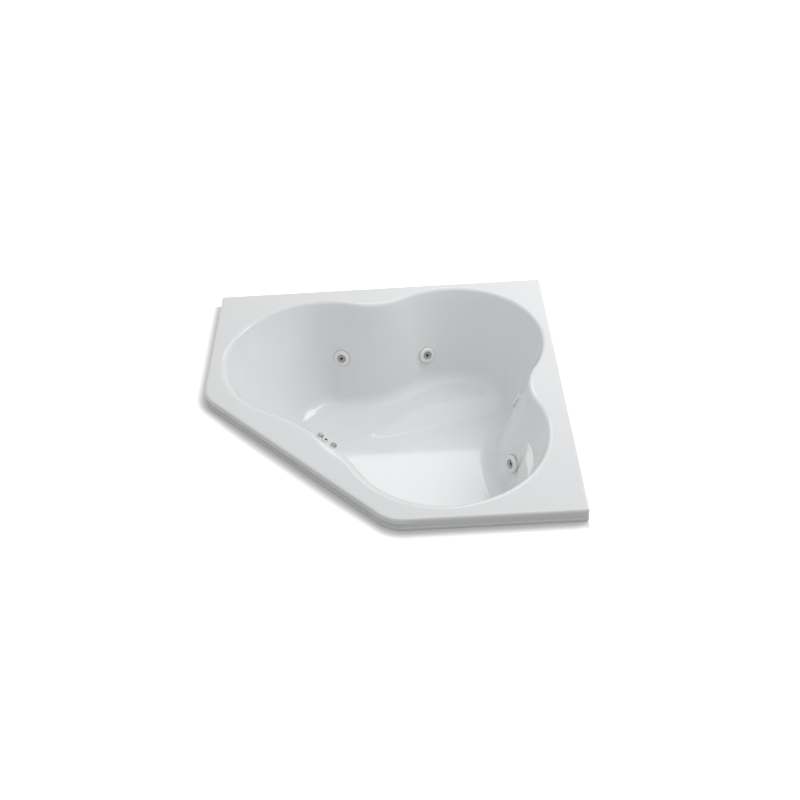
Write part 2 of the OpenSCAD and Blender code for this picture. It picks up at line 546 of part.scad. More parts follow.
module button_housing() color("white") put(button) rotate_extrude() polygon([[6.55, 6], [6.55, -12],
    [3.4, -14], [3.4, -40], [8.9, -40], [8.9, 1], [14.5, 1], [14.5, 3.5], [12.5, 6]]);
module air_button() color("black") put(button) rotate_extrude()
    polygon([[0, -8], [6.5, -8], [6.5, 8], [5.5, 9], [0, 9]]);
switch_r = 3.3;
module switch_tube() color("lightgray") tube(run(concat([at(button, [0, 0, -30]), at(button, [0, 0, -56]),
    behind(-178, 66, -84, 0)], [for (p = [-170 : 9 : -125]) behind(p, 92, -58, 0)],
    [behind(-117, 120, -64, 0)], [for (z = [165, 119]) [pump_x, pump_y + 445, pump_z + z]]), 2), switch_r,
    switch_r - 1.2, 6);

// Pump: built along its shaft, which runs from the wet end to the motor
module at_pump() translate([pump_x, pump_y, pump_z]) rotate([-90, 0, 0]) children();
module volute() color("dimgray") difference() {
    union() {
        at_pump() rotate_extrude()
            polygon([[0, 246], [volute_r - 12, 246], [volute_r, 256], [volute_r, 318], [0, 318]]);
        at_pump() rod(27, 200, 250);
        translate([tee[0][0], tee[0][1], 0]) rod(22, pump_z, port_top);
    }
    at_pump() rod(volute_r - 12, 256, 319);
    at_pump() rod(20, 190, 230);
    at_pump() rod(18, 220, 300);
    translate([tee[0][0], tee[0][1], 0]) rod(17, pump_z + 20, port_top + 1);
}
module seal_plate() color("gray") at_pump() difference() {
    union() {
        rod(volute_r, 318, 328);
        rod(20, 310, 330);
    }
    rod(7.05, 300, 340);
}
module motor_shell() color("steelblue") difference() {
    union() {
        at_pump() rod(motor_r - 3, 328, 552);
        at_pump() rod(motor_r, 328, 340);
        at_pump() rod(motor_r, 540, 552);
        for (g = [-60 : 15 : 60]) for (s = [0, 180]) at_pump() rotate(g + s)
            translate([motor_r - 5, -1.5, 330]) cube([5, 3, 216]);
    }
    at_pump() rod(motor_r - 8, 320, 544);
    at_pump() rod(7.05, 500, 560);
}
module stator() color("peru") at_pump() ring(motor_r - 8, 36, 380, 500);
module fan_cover() color("steelblue") at_pump() difference() {
    rotate_extrude() polygon([[0, 606], [motor_r - 6, 606], [motor_r, 600], [motor_r, 552],
        [motor_r - 3, 552], [motor_r - 3, 598], [0, 602]]);
    for (r = [20 : 14 : 50], g = [0 : 30 : 330]) rotate(g) translate([r, 0, 0]) rod(4, 590, 610);
}
box_y = pump_y + 400;
module terminal_box() color("dimgray") difference() {
    translate([pump_x - 45, box_y, pump_z + 40]) cube([90, 90, 80]);
    at_pump() rod(motor_r + 0.2, 395, 495);
    translate([pump_x - 40, box_y + 5, pump_z + motor_r + 6]) cube([80, 80, 38]);
    translate([pump_x - 50, box_y + 45, pump_z + 92]) rotate([0, 90, 0]) cylinder(r = 8.1, h = 20);
    translate([pump_x, box_y + 45, pump_z + 100]) cylinder(r = 3.4, h = 30);
}
gland_at = [pump_x - 45, box_y + 45, pump_z + 92];
module cable_gland() color("black") translate(gland_at) rotate([0, -90, 0]) difference() {
    union() {
        rod(8, -8, 0);
        cylinder(r = 13, h = 8, $fn = 6);
        rod(10, 8, 18);
        translate([0, 0, 18]) cylinder(r1 = 10, r2 = 7, h = 5);
    }
    rod(gland_bore_r, -20, 30);
}
module impeller() color("gray") at_pump() difference() {
    union() {
        rod(60, 294, 299);
        rod(14, 272, 308);
        for (g = [0 : 60 : 300]) rotate(g) translate([10, -2, 276]) cube([46, 4, 19]);
    }
    rod(7, 260, 320);
}
module rotor_shaft() color("silver") at_pump() {
    rod(7, 272, 592);
    rod(35, 385, 495);
}
module cooling_fan() color("black") at_pump() difference() {
    union() {
        rod(16, 564, 586);
        for (g = [0 : 45 : 315]) rotate(g) translate([10, -1.5, 566]) cube([48, 3, 16]);
    }
    rod(7, 550, 600);
}
module pump_pads() color("black") for (m = pump_foot_spots) translate(m)
    ring(15, 4.3, board_top, board_top + 6);
module pump_base() color("slategray") difference() {
    union() {
        translate([pump_x - 72, pump_y + 340, board_top + 6]) cube([144, 190, 6]);
        for (y = [365, 490]) translate([pump_x - 48, pump_y + y, board_top + 11]) cube([96, 14, 60]);
    }
    at_pump() rod(motor_r + 0.2, 330, 540);
    for (m = pump_foot_spots) translate(m) rod(4.3, 0, board_top + 20);
}
module pump_screws() color("silver") for (m = pump_foot_spots) translate(m) {
    rod(4, board_z + 4, board_top + 12);
    translate([0, 0, board_top + 12]) cylinder(r = 7.5, h = 5.5, $fn = 6);
}

// Drain and overflow
module drain_flange() color("silver") translate(drain) difference() {
    union() {
        rotate_extrude() polygon([[20, floor_z - 25], [25.9, floor_z - 25], [25.9, floor_z],
            [drain_flange_r, floor_z], [drain_flange_r - 1, floor_z + 2], [30, floor_z + 4],
            [20, floor_z + 4]]);
        for (g = [0 : 60 : 120]) rotate(g) translate([-22, -1.5, floor_z - 24]) cube([44, 3, 5]);
        rod(8, floor_z - 24, floor_z - 17);
    }
    rod(4.05, 0, 200);
}
module drain_stopper() color("silver") translate(drain) {
    rotate_extrude() polygon([[0, floor_z - 5], [19.5, floor_z - 5], [19.5, floor_z + 4.2],
        [26, floor_z + 4.2], [26, floor_z + 6], [22, floor_z + 8], [0, floor_z + 9]]);
    rod(4, floor_z - 34, floor_z);
}
module overflow_plate() color("silver") put(overflow) difference() {
    rotate_extrude() polygon([[5.05, pad_out], [34, pad_out], [34, pad_out + 2], [32, pad_out + 4],
        [5.05, pad_out + 4]]);
    for (g = [0 : 45 : 315]) rotate(g) translate([13, 0, 0]) rod(2.5, 0, 10);
}
module overflow_knob() color("silver") put(overflow) difference() {
    union() {
        rotate_extrude() polygon([[0, pad_out + 8], [28, pad_out + 8], [30, pad_out + 12], [30, pad_out + 18],
            [27, pad_out + 21], [0, pad_out + 22]]);
        rod(5, -8, pad_out + 9);
        translate([0, 0, pad_out + 4.3]) rod(9, 0, 5);
    }
    for (g = [0 : 30 : 330]) rotate(g) translate([31.5, 0, 0]) rod(3.5, pad_out + 7, pad_out + 30);
}
stand = concat(plan(stand_q, 0), 0);
module waste_pipe() color("whitesmoke") difference() {
    union() {
        translate(drain) rod(36, board_top - 8, board_top);
        translate(drain) rod(30, waste_z - 20, board_top);
        translate(concat(plan(drain_q, 0), waste_z)) rotate([0, 90, -135]) rod(waste_r, 0, stand_q - drain_q);
        translate(stand) rod(waste_r, 0, 40);
        translate(stand) rod(stand_r, 40, rim_h - overflow_depth + 4);
        translate(stand) rod(waste_r + 4, tail_l, 74);
        translate(concat(plan(stand_q - 45, 0), waste_z)) rotate([0, 90, -135]) rod(waste_r + 4, 0, 45);
        put(overflow) rod(34, pad_back - 6, pad_back);
        put(overflow) rod(22, -50, pad_back);
    }
    translate(drain) rod(25.95, floor_z - 25.5, board_top + 1);
    translate(drain) rod(20, waste_z - 10, board_top);
    translate(concat(plan(drain_q, 0), waste_z)) rotate([0, 90, -135]) rod(waste_r - 3, 0, stand_q - drain_q);
    translate(stand) rod(stand_r - 3, -1, rim_h - overflow_depth - 2);
    put(overflow) rod(17, -48, pad_back + 1);
}

tub_shell();
base_board();
support_feet();
rim_battens();
jet_bodies();
jet_gaskets();
jet_wall_fittings();
jet_ring_1();
jet_ring_2();
jet_ring_3();
jet_ring_4();
jet_ring_5();
jet_ring_6();
jet_nozzle_1();
jet_nozzle_2();
jet_nozzle_3();
jet_nozzle_4();
jet_nozzle_5();
jet_nozzle_6();
suction_cover();
suction_body();
suction_gasket();
suction_screws();
water_pipe_1();
water_pipe_2();
water_pipe_3();
water_pipe_4();
water_pipe_5();
water_pipe_6();
feed_tee();
discharge_union();
suction_pipe();
air_tubes_left();
air_tubes_right();
air_control_bodies();
left_air_knob();
right_air_knob();
fitting_nuts();
button_housing();
air_button();
switch_tube();
pump_base();
pump_pads();
pump_screws();
volute();
seal_plate();
motor_shell();
stator();
fan_cover();
terminal_box();
cable_gland();
impeller();
rotor_shaft();
cooling_fan();
drain_flange();
drain_stopper();
overflow_plate();
overflow_knob();
waste_pipe();
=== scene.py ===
import json
import math

import bmesh
import bpy
from mathutils import Matrix, Vector


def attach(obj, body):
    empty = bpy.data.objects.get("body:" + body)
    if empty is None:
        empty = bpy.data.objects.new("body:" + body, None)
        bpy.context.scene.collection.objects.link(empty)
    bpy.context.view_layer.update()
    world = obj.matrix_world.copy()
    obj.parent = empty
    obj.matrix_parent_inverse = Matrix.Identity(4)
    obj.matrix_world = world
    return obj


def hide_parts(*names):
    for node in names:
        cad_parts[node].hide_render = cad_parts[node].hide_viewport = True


bl_info = {
    "name": "Jetted corner bathtub",
    "version": (1, 0, 0),
    "blender": (4, 5, 0),
    "location": "3D View > Sidebar > Bathtub",
    "description": "Dresses the packed jetted bathtub for a studio picture",
    "category": "Object",
}

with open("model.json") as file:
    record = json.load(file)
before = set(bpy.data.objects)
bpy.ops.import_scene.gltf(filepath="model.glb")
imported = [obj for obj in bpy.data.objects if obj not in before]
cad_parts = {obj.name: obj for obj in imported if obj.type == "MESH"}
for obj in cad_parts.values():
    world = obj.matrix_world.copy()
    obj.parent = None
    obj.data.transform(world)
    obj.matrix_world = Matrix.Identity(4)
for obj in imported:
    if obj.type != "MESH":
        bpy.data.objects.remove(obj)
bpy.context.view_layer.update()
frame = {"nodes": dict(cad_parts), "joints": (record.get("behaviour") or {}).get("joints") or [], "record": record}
ROOT2 = math.sqrt(2)
JOINTS = {j["name"]: j for j in frame["joints"]}
BODY_OF = {n: body for body, nodes in frame["record"]["behaviour"]["bodies"].items() for n in nodes}
SLOT_OF = {s["node"]: s["material_slot"] for s in frame["record"]["subparts"]}
MM = 0.001


# Sizes and colours that a user would change

def length(name, description, default, low, high):
    return bpy.props.FloatProperty(name=name, description=description, default=default, min=low, max=high,
                                   unit="LENGTH")


def tone(name, description, default):
    return bpy.props.StringProperty(name=name, description=description, default=default)


class TubSizes(bpy.types.PropertyGroup):
    """Sizes of the shell, in metres"""
    side: length("Wall side", "Length of each wall side of the rim", 1.372, 1.3, 1.5)
    wing: length("Wing", "Length of each side beside the diagonal", 0.670, 0.6, 0.75)
    rim_h: length("Rim height", "Height of the rim top above the floor", 0.520, 0.5, 0.6)
    edge_h: length("Edge height", "Height of the turned-down edge", 0.050, 0.03, 0.07)
    basin_depth: length("Basin depth", "Depth of the basin below the rim", 0.435, 0.4, 0.44)
    step_h: length("Step height", "Height of the step in the corner lobe", 0.040, 0.02, 0.06)
    arm_w: length("Armrest width", "Width of the armrest at its middle", 0.032, 0.01, 0.05)
    shell_t: length("Shell", "Thickness of the shell", 0.008, 0.006, 0.01)


class TubColours(bpy.types.PropertyGroup):
    """Colours of the finishes, as sRGB hex values"""
    acrylic: tone("Acrylic", "Colour of the shell", "#E8E9EA")
    fitting: tone("Fittings", "Colour of the moulded fittings", "#ECECEA")
    nozzle: tone("Nozzles", "Colour of the nozzles", "#BFC1C3")
    # Near black inside the nozzles: painted shade down the bores, not the acetal's own colour
    recess: tone("Nozzle bores", "Colour inside the nozzles", "#161616")
    pipe: tone("Pipes", "Colour of the rigid pipes", "#E4E4E0")
    hose: tone("Hoses", "Colour of the air hoses", "#C3CBD0")
    motor: tone("Motor", "Colour of the motor paint", "#44525F")


def sizes():
    return bpy.context.scene.tub_sizes


def colours():
    return bpy.context.scene.tub_colours


# The surface that the shell follows, in millimetres and in rays about the hub

HUB_Q = 850
MIDDLE_Q = 930
FRONT_CORNER_R = 130
SQUARE_CORNER_R = 12
LIP_OUT = 1.5
LIP_H = 12
EDGE_R = 8
LOBE_R = 392
CORNER_LOBE = (572, 0)
SIDE_LOBE = (985, 347)
SIDE_BLEND_R = 208
FRONT_BLEND_R = 858
ROLL_R = 35
# The roll is tighter beside the walls of the room than at the front, where the controls sit on it
TIGHT_ROLL_R = 17
TIGHT_SPAN = 112, 18
BASE_R = 70
FALL = math.radians(72)
BACK_RUN = 105
FRONT_RUN = 65
ARM_DEPTH = 150
ARM_SPAN = (66, 94)
STEP_TIP_Q = 414
STEP_SLOPE = math.radians(33.4)
STEP_RUN = 90
# Ray where the step starts, and how many degrees it takes to rise
STEP_START = -66
STEP_RISE = 22
STEP_OFFSETS = [-14, -9, -5, -1, 3, 7, 13, 24, 40, 58, 74, 82, 87, 91, 96, 104]
PAD_OUT = 3.2
PAD_BACK = -15
DRAIN_Q = 1118
# The armrest's top, nose and underside: depth past its top, and share of its width
ARM_LEDGE = [(-2, 0), (0, 0.02), (0.8, 0.12), (1.3, 0.35), (1.8, 0.6), (2.5, 0.82), (4, 0.94), (7, 1),
             (14, 1.02)]
# Bead and groove on the diagonal edge: inset and depth below the rim top, and the rays where they start
BEAD = [(1.5, 24), (0.5, 22.4), (0, 20), (0, 18.4), (0.5, 16), (1.4, 14.6), (3.4, 14), (3.6, 11.4),
        (1.6, 10.4)]
BEAD_SPAN = 133, 6


def sind(a):
    return math.sin(math.radians(a))


def cosd(a):
    return math.cos(math.radians(a))


def ease(t):
    t = min(1, max(0, t))
    return t*t*(3 - 2*t)


def plan(q, w):
    """x and y of a place q along the diagonal from the room corner and w beside it"""
    half = sizes().side/MM/2
    return half + (w - q)/ROOT2, half - (w + q)/ROOT2


def ray_angle(c):
    """The ray of a place about the hub, in degrees, positive on the right"""
    return math.degrees(math.atan2(c[1], HUB_Q - c[0]))


def reach(c, r, p, far=True):
    """Distance from the hub to a circle along a ray"""
    m = (HUB_Q - c[0], -c[1])
    b = -m[0]*cosd(p) + m[1]*sind(p)
    s = math.sqrt(b*b - m[0]**2 - m[1]**2 + r*r)
    return s - b if far else -s - b


def lobe_layout():
    """Centres of the blends between the lobes, and the rays where the arcs meet"""
    gap = math.dist(SIDE_LOBE, CORNER_LOBE)
    v = ((SIDE_LOBE[0] - CORNER_LOBE[0])/gap, (SIDE_LOBE[1] - CORNER_LOBE[1])/gap)
    rise = math.sqrt((LOBE_R + SIDE_BLEND_R)**2 - gap**2/4)
    side = ((CORNER_LOBE[0] + SIDE_LOBE[0])/2 - v[1]*rise, (CORNER_LOBE[1] + SIDE_LOBE[1])/2 + v[0]*rise)
    front = (SIDE_LOBE[0] + math.sqrt((LOBE_R + FRONT_BLEND_R)**2 - SIDE_LOBE[1]**2), 0)

    def towards(a, b, r):
        d = math.dist(a, b)
        return a[0] + (b[0] - a[0])/d*r, a[1] + (b[1] - a[1])/d*r

    meets = ((side, CORNER_LOBE, SIDE_BLEND_R), (side, SIDE_LOBE, SIDE_BLEND_R),
             (front, SIDE_LOBE, FRONT_BLEND_R))
    return side, front, [ray_angle(towards(*meet)) for meet in meets]


SIDE_BLEND, FRONT_BLEND, BLEND_RAYS = lobe_layout()


def outline(p):
    """Point of the basin's outline on a ray of the right half, and the outward normal there"""
    if p <= BLEND_RAYS[0]:
        c, r, far, s = CORNER_LOBE, LOBE_R, True, 1
    elif p <= BLEND_RAYS[1]:
        c, r, far, s = SIDE_BLEND, SIDE_BLEND_R, False, -1
    elif p <= BLEND_RAYS[2]:
        c, r, far, s = SIDE_LOBE, LOBE_R, True, 1
    else:
        c, r, far, s = FRONT_BLEND, FRONT_BLEND_R, False, -1
    k = reach(c, r, p, far)
    m = (HUB_Q - k*cosd(p), k*sind(p))
    return m, (s*(m[0] - c[0])/r, s*(m[1] - c[1])/r)


def recline(p):
    """How much of the backrest's slope the wall has on a ray"""
    return ease((p - 60)/40)*(1 - ease((p - 125)/50))


def forward(p):
    """How much steeper the front wall stands on a ray"""
    return ease((p - 130)/35)


def wall_inset(d, t=0):
    """How far the straight wall has come in from the outline at a depth"""
    r = ROLL_R - t
    return r*math.sin(FALL) + (d - ROLL_R + r*math.cos(FALL))/math.tan(FALL)


def basin_plan(p, inset, depth):
    """q and w of the wall at a ray of the right half, an inset from the outline and a depth"""
    m, n = outline(p)
    sunk = min(1, max(0, (depth - ROLL_R)/(sizes().basin_depth/MM - ROLL_R)))
    back = BACK_RUN*recline(p)*sunk/ROOT2
    return m[0] - n[0]*inset - back + FRONT_RUN*forward(p)*sunk, m[1] - n[1]*inset - back


def basin_point(p, inset, depth):
    q, w = basin_plan(abs(p), inset, depth)
    x, y = plan(q, w if p >= 0 else -w)
    return Vector((x, y, sizes().rim_h/MM - depth))


def frame_of(m, n):
    """Axes on a surface: down it, along it and out of it"""
    b, g = math.acos(n.z), math.atan2(n.y, n.x)
    return m, Vector((math.cos(b)*math.cos(g), math.cos(b)*math.sin(g), -math.sin(b))), \
        Vector((-math.sin(g), math.cos(g), 0)), n


def wall_frame(p, d):
    """A frame on the wall at a ray and a depth"""
    def at_wall(a, b):
        return basin_point(a, wall_inset(b), b)
    n = (at_wall(p, d + 1) - at_wall(p, d - 1)).cross(at_wall(p + 0.2, d) - at_wall(p - 0.2, d))
    return frame_of(at_wall(p, d), n.normalized())


def at(f, x, y, z):
    """A place in a frame, from its three distances along the frame's axes"""
    return f[0] + f[1]*x + f[2]*y + f[3]*z


def joint_frame(name):
    """The frame that a joint of the part turns or slides in, in millimetres"""
    j = JOINTS[name]
    return frame_of(Vector(j["pos_m"])/MM, Vector(j["axis"]).normalized())


JETS = [joint_frame(f"ring_turn_{i}") for i in range(1, 7)]
JET_RAYS = [-70.5, -39, 44, 66, 150, -150]
JET_DEPTHS = [240, 270, 215, 285, 255, 255]
CONTROLS = [joint_frame("left_air_turn"), joint_frame("right_air_turn")]
OVERFLOW = joint_frame("overflow_turn")
SUCTION_RAY = -168
SUCTION_LIFT = 103
# Ray of the push button, and its angle round the roll
BUTTON_ON_ROLL = 175.3, 42


def rim_reach(p, inset):
    """Distance from the hub to the rim's outer boundary, drawn in by an inset"""
    s = sizes()
    side, wing = s.side/MM, s.wing/MM
    front_q = (side + wing)/ROOT2
    p = abs(p)
    edges = [((-1/ROOT2, 1/ROOT2), HUB_Q/ROOT2), ((1/ROOT2, 1/ROOT2), side - HUB_Q/ROOT2),
             ((1, 0), front_q - HUB_Q)]
    k = min((e[1] - inset)/(e[0][1]*sind(p) - e[0][0]*cosd(p)) for e in edges
            if e[0][1]*sind(p) - e[0][0]*cosd(p) > 0.01)
    m = (HUB_Q - k*cosd(p), k*sind(p))
    fq = front_q - FRONT_CORNER_R
    corners = [((SQUARE_CORNER_R*ROOT2, 0), SQUARE_CORNER_R, (-1, -1), (-1, 1)),
               ((side/ROOT2, (side - 2*SQUARE_CORNER_R)/ROOT2), SQUARE_CORNER_R, (-1, 1), (1, 1)),
               ((fq, ROOT2*(side - FRONT_CORNER_R) - fq), FRONT_CORNER_R, (1, 1), (ROOT2, 0))]
    for c, r, a, b in corners:
        v = (m[0] - c[0], m[1] - c[1])
        if a[0]*v[1] - a[1]*v[0] < 0 and v[0]*b[1] - v[1]*b[0] < 0:
            return reach(c, r - inset, p)
    return k


def rim_point(p, inset, z):
    """A point of the right half's rim on a ray, drawn in by an inset"""
    k = rim_reach(p, inset)
    x, y = plan(HUB_Q - k*cosd(p), k*sind(p))
    return Vector((x, y, z))


# Materials

def colour(hexa):
    """An sRGB hex value as linear colour with full alpha"""
    parts = [int(hexa[i:i + 2], 16)/255 for i in (1, 3, 5)]
    return [c/12.92 if c <= 0.04045 else ((c + 0.055)/1.055)**2.4 for c in parts] + [1]


def add(tree, kind, inputs=None, **settings):
    """Adds a node; an input is a value, or an output socket to link"""
    n = tree.nodes.new(kind)
    for k, v in settings.items():
        setattr(n, k, v)
    for k, v in (inputs or {}).items():
        if isinstance(v, bpy.types.NodeSocket):
            tree.links.new(v, n.inputs[k])
        else:
            n.inputs[k].default_value = v
    return n


def finish(name, tone, rough, grain_mm, metal=0.0, ior=None, coat=0.0, vary=0.0, stretch=(1, 1, 1), bump=0.0,
           bump_mm=1.0, rough_vary=0.0, second=None):
    """A Principled surface with a fine bump, uneven gloss and, where asked, a second tone in its grain"""
    m = bpy.data.materials.new(name)
    m.use_nodes = True
    t = m.node_tree
    shader = t.nodes["Principled BSDF"]
    shader.inputs["Base Color"].default_value = colour(tone)
    shader.inputs["Roughness"].default_value = rough
    shader.inputs["Metallic"].default_value = metal
    if ior:
        shader.inputs["IOR"].default_value = ior
    shader.inputs["Coat Weight"].default_value = coat
    place = add(t, "ShaderNodeTexCoord").outputs["Object"]
    stretched = add(t, "ShaderNodeMapping", {"Vector": place, "Scale": stretch}).outputs["Vector"]
    coarse = add(t, "ShaderNodeTexNoise", {"Vector": stretched, "Scale": 1000/grain_mm, "Detail": 4.0})
    if second:
        ramp = add(t, "ShaderNodeMapRange", {"Value": coarse.outputs["Fac"], "From Min": 0.5 - vary,
                                             "From Max": 0.5 + vary})
        mix = add(t, "ShaderNodeMix", {"Factor": ramp.outputs["Result"]}, data_type="RGBA")
        mix.inputs["A"].default_value = colour(tone)
        mix.inputs["B"].default_value = colour(second)
        t.links.new(mix.outputs["Result"], shader.inputs["Base Color"])
    if rough_vary:
        gloss = add(t, "ShaderNodeMapRange", {"Value": coarse.outputs["Fac"], "From Min": 0.3,
                                              "From Max": 0.7, "To Min": max(0.02, rough - rough_vary),
                                              "To Max": rough + rough_vary})
        t.links.new(gloss.outputs["Result"], shader.inputs["Roughness"])
    if bump:
        fine = add(t, "ShaderNodeTexNoise", {"Vector": stretched, "Scale": 1000/bump_mm, "Detail": 2.0})
        lift = add(t, "ShaderNodeBump", {"Height": fine.outputs["Fac"], "Strength": bump,
                                         "Distance": bump_mm*MM})
        t.links.new(lift.outputs["Normal"], shader.inputs["Normal"])
    return m


def make_materials():
    """Every finish of the tub, by the name of the real material"""
    c = colours()
    return {
        # Thermoformed acrylic over a polished mould: deep even gloss with a faint long-wave ripple
        "acrylic": finish("thermoformed_acrylic", c.acrylic, 0.045, 150, ior=1.49, bump=0.001, bump_mm=40,
                          rough_vary=0.01),
        # Chopped glass fibre sprayed on in resin: waxy, lumpy and slightly yellow, left unpainted
        "backing": finish("sprayed_glass_fibre", "#CFC8B2", 0.55, 22, ior=1.53, vary=0.25, second="#DDD8C6",
                          bump=0.9, bump_mm=7, rough_vary=0.15),
        # Rotary-cut birch face veneer, sanded: fine streaks along the sheet and a dry, dull surface
        "plywood": finish("birch_plywood", "#C9A877", 0.62, 14, ior=1.45, stretch=(0.12, 1, 3), vary=0.2,
                          second="#A9824F", bump=0.25, bump_mm=1.2, rough_vary=0.08),
        # Sawn softwood of the battens: rougher, with broad pale and dark streaks along each length
        "batten": finish("sawn_softwood", "#D8BE90", 0.68, 18, ior=1.45, stretch=(1, 0.1, 2), vary=0.22,
                         second="#BE9A62", bump=0.4, bump_mm=1.5, rough_vary=0.08),
        # Injection-moulded ABS for the wall fittings: even gloss, a little softer than the acrylic
        "fitting": finish("moulded_white_abs", c.fitting, 0.16, 30, ior=1.52, bump=0.03, bump_mm=2.5,
                          rough_vary=0.03),
        # Grey moulded acetal for the nozzles: satin, to turn in its socket
        "nozzle": finish("moulded_grey_acetal", c.nozzle, 0.24, 20, ior=1.48, bump=0.03, bump_mm=1.5,
                         rough_vary=0.04),
        # The same acetal down a bore, painted near black: painted shade where no light comes back
        "recess": finish("painted_shade_bore_acetal", c.recess, 0.5, 10, ior=1.48, bump=0.05, rough_vary=0.05),
        # Extruded rigid PVC: semi-matt with faint draw lines
        "pipe": finish("extruded_white_pvc", c.pipe, 0.33, 25, ior=1.53, bump=0.06, bump_mm=1.4,
                       rough_vary=0.06),
        # Ivory moulded PVC for the bodies behind the wall: matt, with a slightly pebbled skin
        "body": finish("moulded_ivory_pvc", "#DEDCD2", 0.42, 18, ior=1.53, bump=0.15, bump_mm=1.6,
                       rough_vary=0.07),
        # Flexible vinyl hose: cloudy and soft, with a broad sheen
        "hose": finish("flexible_vinyl", c.hose, 0.3, 12, ior=1.54, bump=0.05, bump_mm=2, rough_vary=0.05),
        # Nitrile rubber: near black, dusty and without gloss
        "rubber": finish("nitrile_rubber", "#1B1B1C", 0.78, 6, ior=1.52, bump=0.2, bump_mm=0.9, vary=0.3,
                         second="#262627", rough_vary=0.08),
        # Cold-formed stainless steel: bright, with a fine turned haze
        "stainless": finish("stainless_steel", "#B9BABB", 0.26, 4, metal=1.0, bump=0.06, bump_mm=0.5,
                            rough_vary=0.06),
        # Chromium plate over polished brass: mirror gloss, clouded only by water marks
        "chrome": finish("chromium_plate", "#D6D8DA", 0.07, 25, metal=1.0, bump=0.02, bump_mm=3,
                         rough_vary=0.035),
        # Brushed dark nickel on the air dials: grey metal with a soft, broad gleam
        "nickel": finish("brushed_dark_nickel", "#A3A5A8", 0.3, 5, metal=1.0, bump=0.08, bump_mm=0.6,
                         rough_vary=0.05),
        # Black ABS button cap: glossy, with fine wear
        "button": finish("moulded_black_abs", "#111213", 0.2, 9, ior=1.52, bump=0.04, rough_vary=0.05),
        # Glass-filled black nylon of the pump's wet end: satin with a fibrous skin
        "nylon": finish("glass_filled_nylon", "#232426", 0.46, 9, ior=1.53, bump=0.3, bump_mm=1.1, vary=0.25,
                        second="#2E3032", rough_vary=0.08),
        # Stove enamel on the die-cast motor: smooth with a light orange peel
        "enamel": finish("stove_enamelled_casting", c.motor, 0.34, 30, ior=1.5, coat=0.15, bump=0.22,
                         bump_mm=2.2, rough_vary=0.06),
        # Folded steel bracket, powder coated: dull, finely pitted
        "bracket": finish("powder_coated_steel", "#4A5157", 0.52, 12, ior=1.5, bump=0.3, rough_vary=0.06),
        # Enamelled copper wire on the stator: warm metal under a clear lacquer
        "copper": finish("enamelled_copper", "#B4662F", 0.3, 6, metal=1.0, bump=0.7, bump_mm=0.9, vary=0.3,
                         second="#8E4A1E", rough_vary=0.08),
        # Turned and ground shaft steel: bright with fine circumferential lines
        "shaft": finish("ground_shaft_steel", "#A9ABAD", 0.2, 3, metal=1.0, bump=0.1, bump_mm=0.4,
                        rough_vary=0.06),
        # Moulded polypropylene feet: dark grey, matt and slightly waxy
        "foot": finish("moulded_polypropylene", "#3A3C3F", 0.5, 10, ior=1.49, bump=0.2, bump_mm=1.3,
                       rough_vary=0.07),
    }


MATERIALS = {}


# Making pieces

SHARP = math.radians(38)


def piece(name, verts, faces, material, body, slot, replaces, face_kinds=None, turn_out=True):
    """A piece in place from points in millimetres; its faces are turned outwards where asked"""
    o = bare(name, verts, faces=faces)
    for m in [material] if isinstance(material, str) else material:
        o.data.materials.append(MATERIALS[m])
    if face_kinds:
        o.data.polygons.foreach_set("material_index", face_kinds)
    if turn_out:
        bm = bmesh.new()
        bm.from_mesh(o.data)
        bmesh.ops.remove_doubles(bm, verts=bm.verts, dist=1e-6)
        bmesh.ops.recalc_face_normals(bm, faces=bm.faces)
        bm.to_mesh(o.data)
        bm.free()
    shade(o)
    return settle(o, body, slot, replaces)


def shade(o):
    """Smooth shading that keeps sharp corners"""
    o.data.polygons.foreach_set("use_smooth", [True]*len(o.data.polygons))
    bm = bmesh.new()
    bm.from_mesh(o.data)
    for e in bm.edges:
        if len(e.link_faces) == 2 and e.calc_face_angle(0) > SHARP:
            e.smooth = False
    bm.to_mesh(o.data)
    bm.free()


def settle(o, body, slot, replaces):
    """Puts a piece on its body and in place of the nodes that it stands for; the slot is not used"""
    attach(o, body)
    if replaces:
        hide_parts(*replaces)
    return o


def join(parts):
    """Several (verts, faces) lists as one"""
    verts, faces = [], []
    for v, f in parts:
        k = len(verts)
        verts += list(v)
        faces += [tuple(i + k for i in g) for g in f]
    return verts, faces


def rounded(points, r, steps=4):
    """A profile with each inner corner rounded; r is one radius or one for each inner corner"""
    out = [Vector(points[0])]
    radii = [r]*(len(points) - 2) if not hasattr(r, "__len__") else r
    for i in range(1, len(points) - 1):
        a, b, c = (Vector(points[i + k]) for k in (-1, 0, 1))
        u, v = (a - b), (c - b)
        k = min(radii[i - 1], u.length*0.45, v.length*0.45)
        if k <= 0.01:
            out.append(b)
            continue
        s, e = b + u.normalized()*k, b + v.normalized()*k
        for j in range(steps + 1):
            t = j/steps
            out.append(s*(1 - t)**2 + b*2*t*(1 - t) + e*t*t)
    out.append(Vector(points[-1]))
    return out


def closed(points, r):
    """A closed profile with rounded corners, for a ring"""
    middle = (Vector(points[0]) + Vector(points[-1]))/2
    return rounded([middle, *points, middle], r)[:-1]


def lathe(profile, f, n=64, ring=False, ripple=None):
    """A turned shape about a frame's axis from (radius, height) points; a ring's profile closes on itself"""
    verts, faces = [], []
    m = len(profile)
    for i in range(n):
        g = 2*math.pi*i/n
        for j, (r, z) in enumerate(profile):
            if ripple:
                r, z = ripple(r, z, g)
            verts.append(at(f, r*math.cos(g), r*math.sin(g), z))
    for i in range(n):
        for j in range(m if ring else m - 1):
            a, b = i*m + j, i*m + (j + 1) % m
            c, d = ((i + 1) % n)*m + (j + 1) % m, ((i + 1) % n)*m + j
            faces.append((a, b, c, d))
    return tidy(verts, faces)


def rod(r, z0, z1, f, n=32):
    """A plain cylinder on a frame, between two heights"""
    return lathe([(0, z0), (r, z0), (r, z1), (0, z1)], f, n)


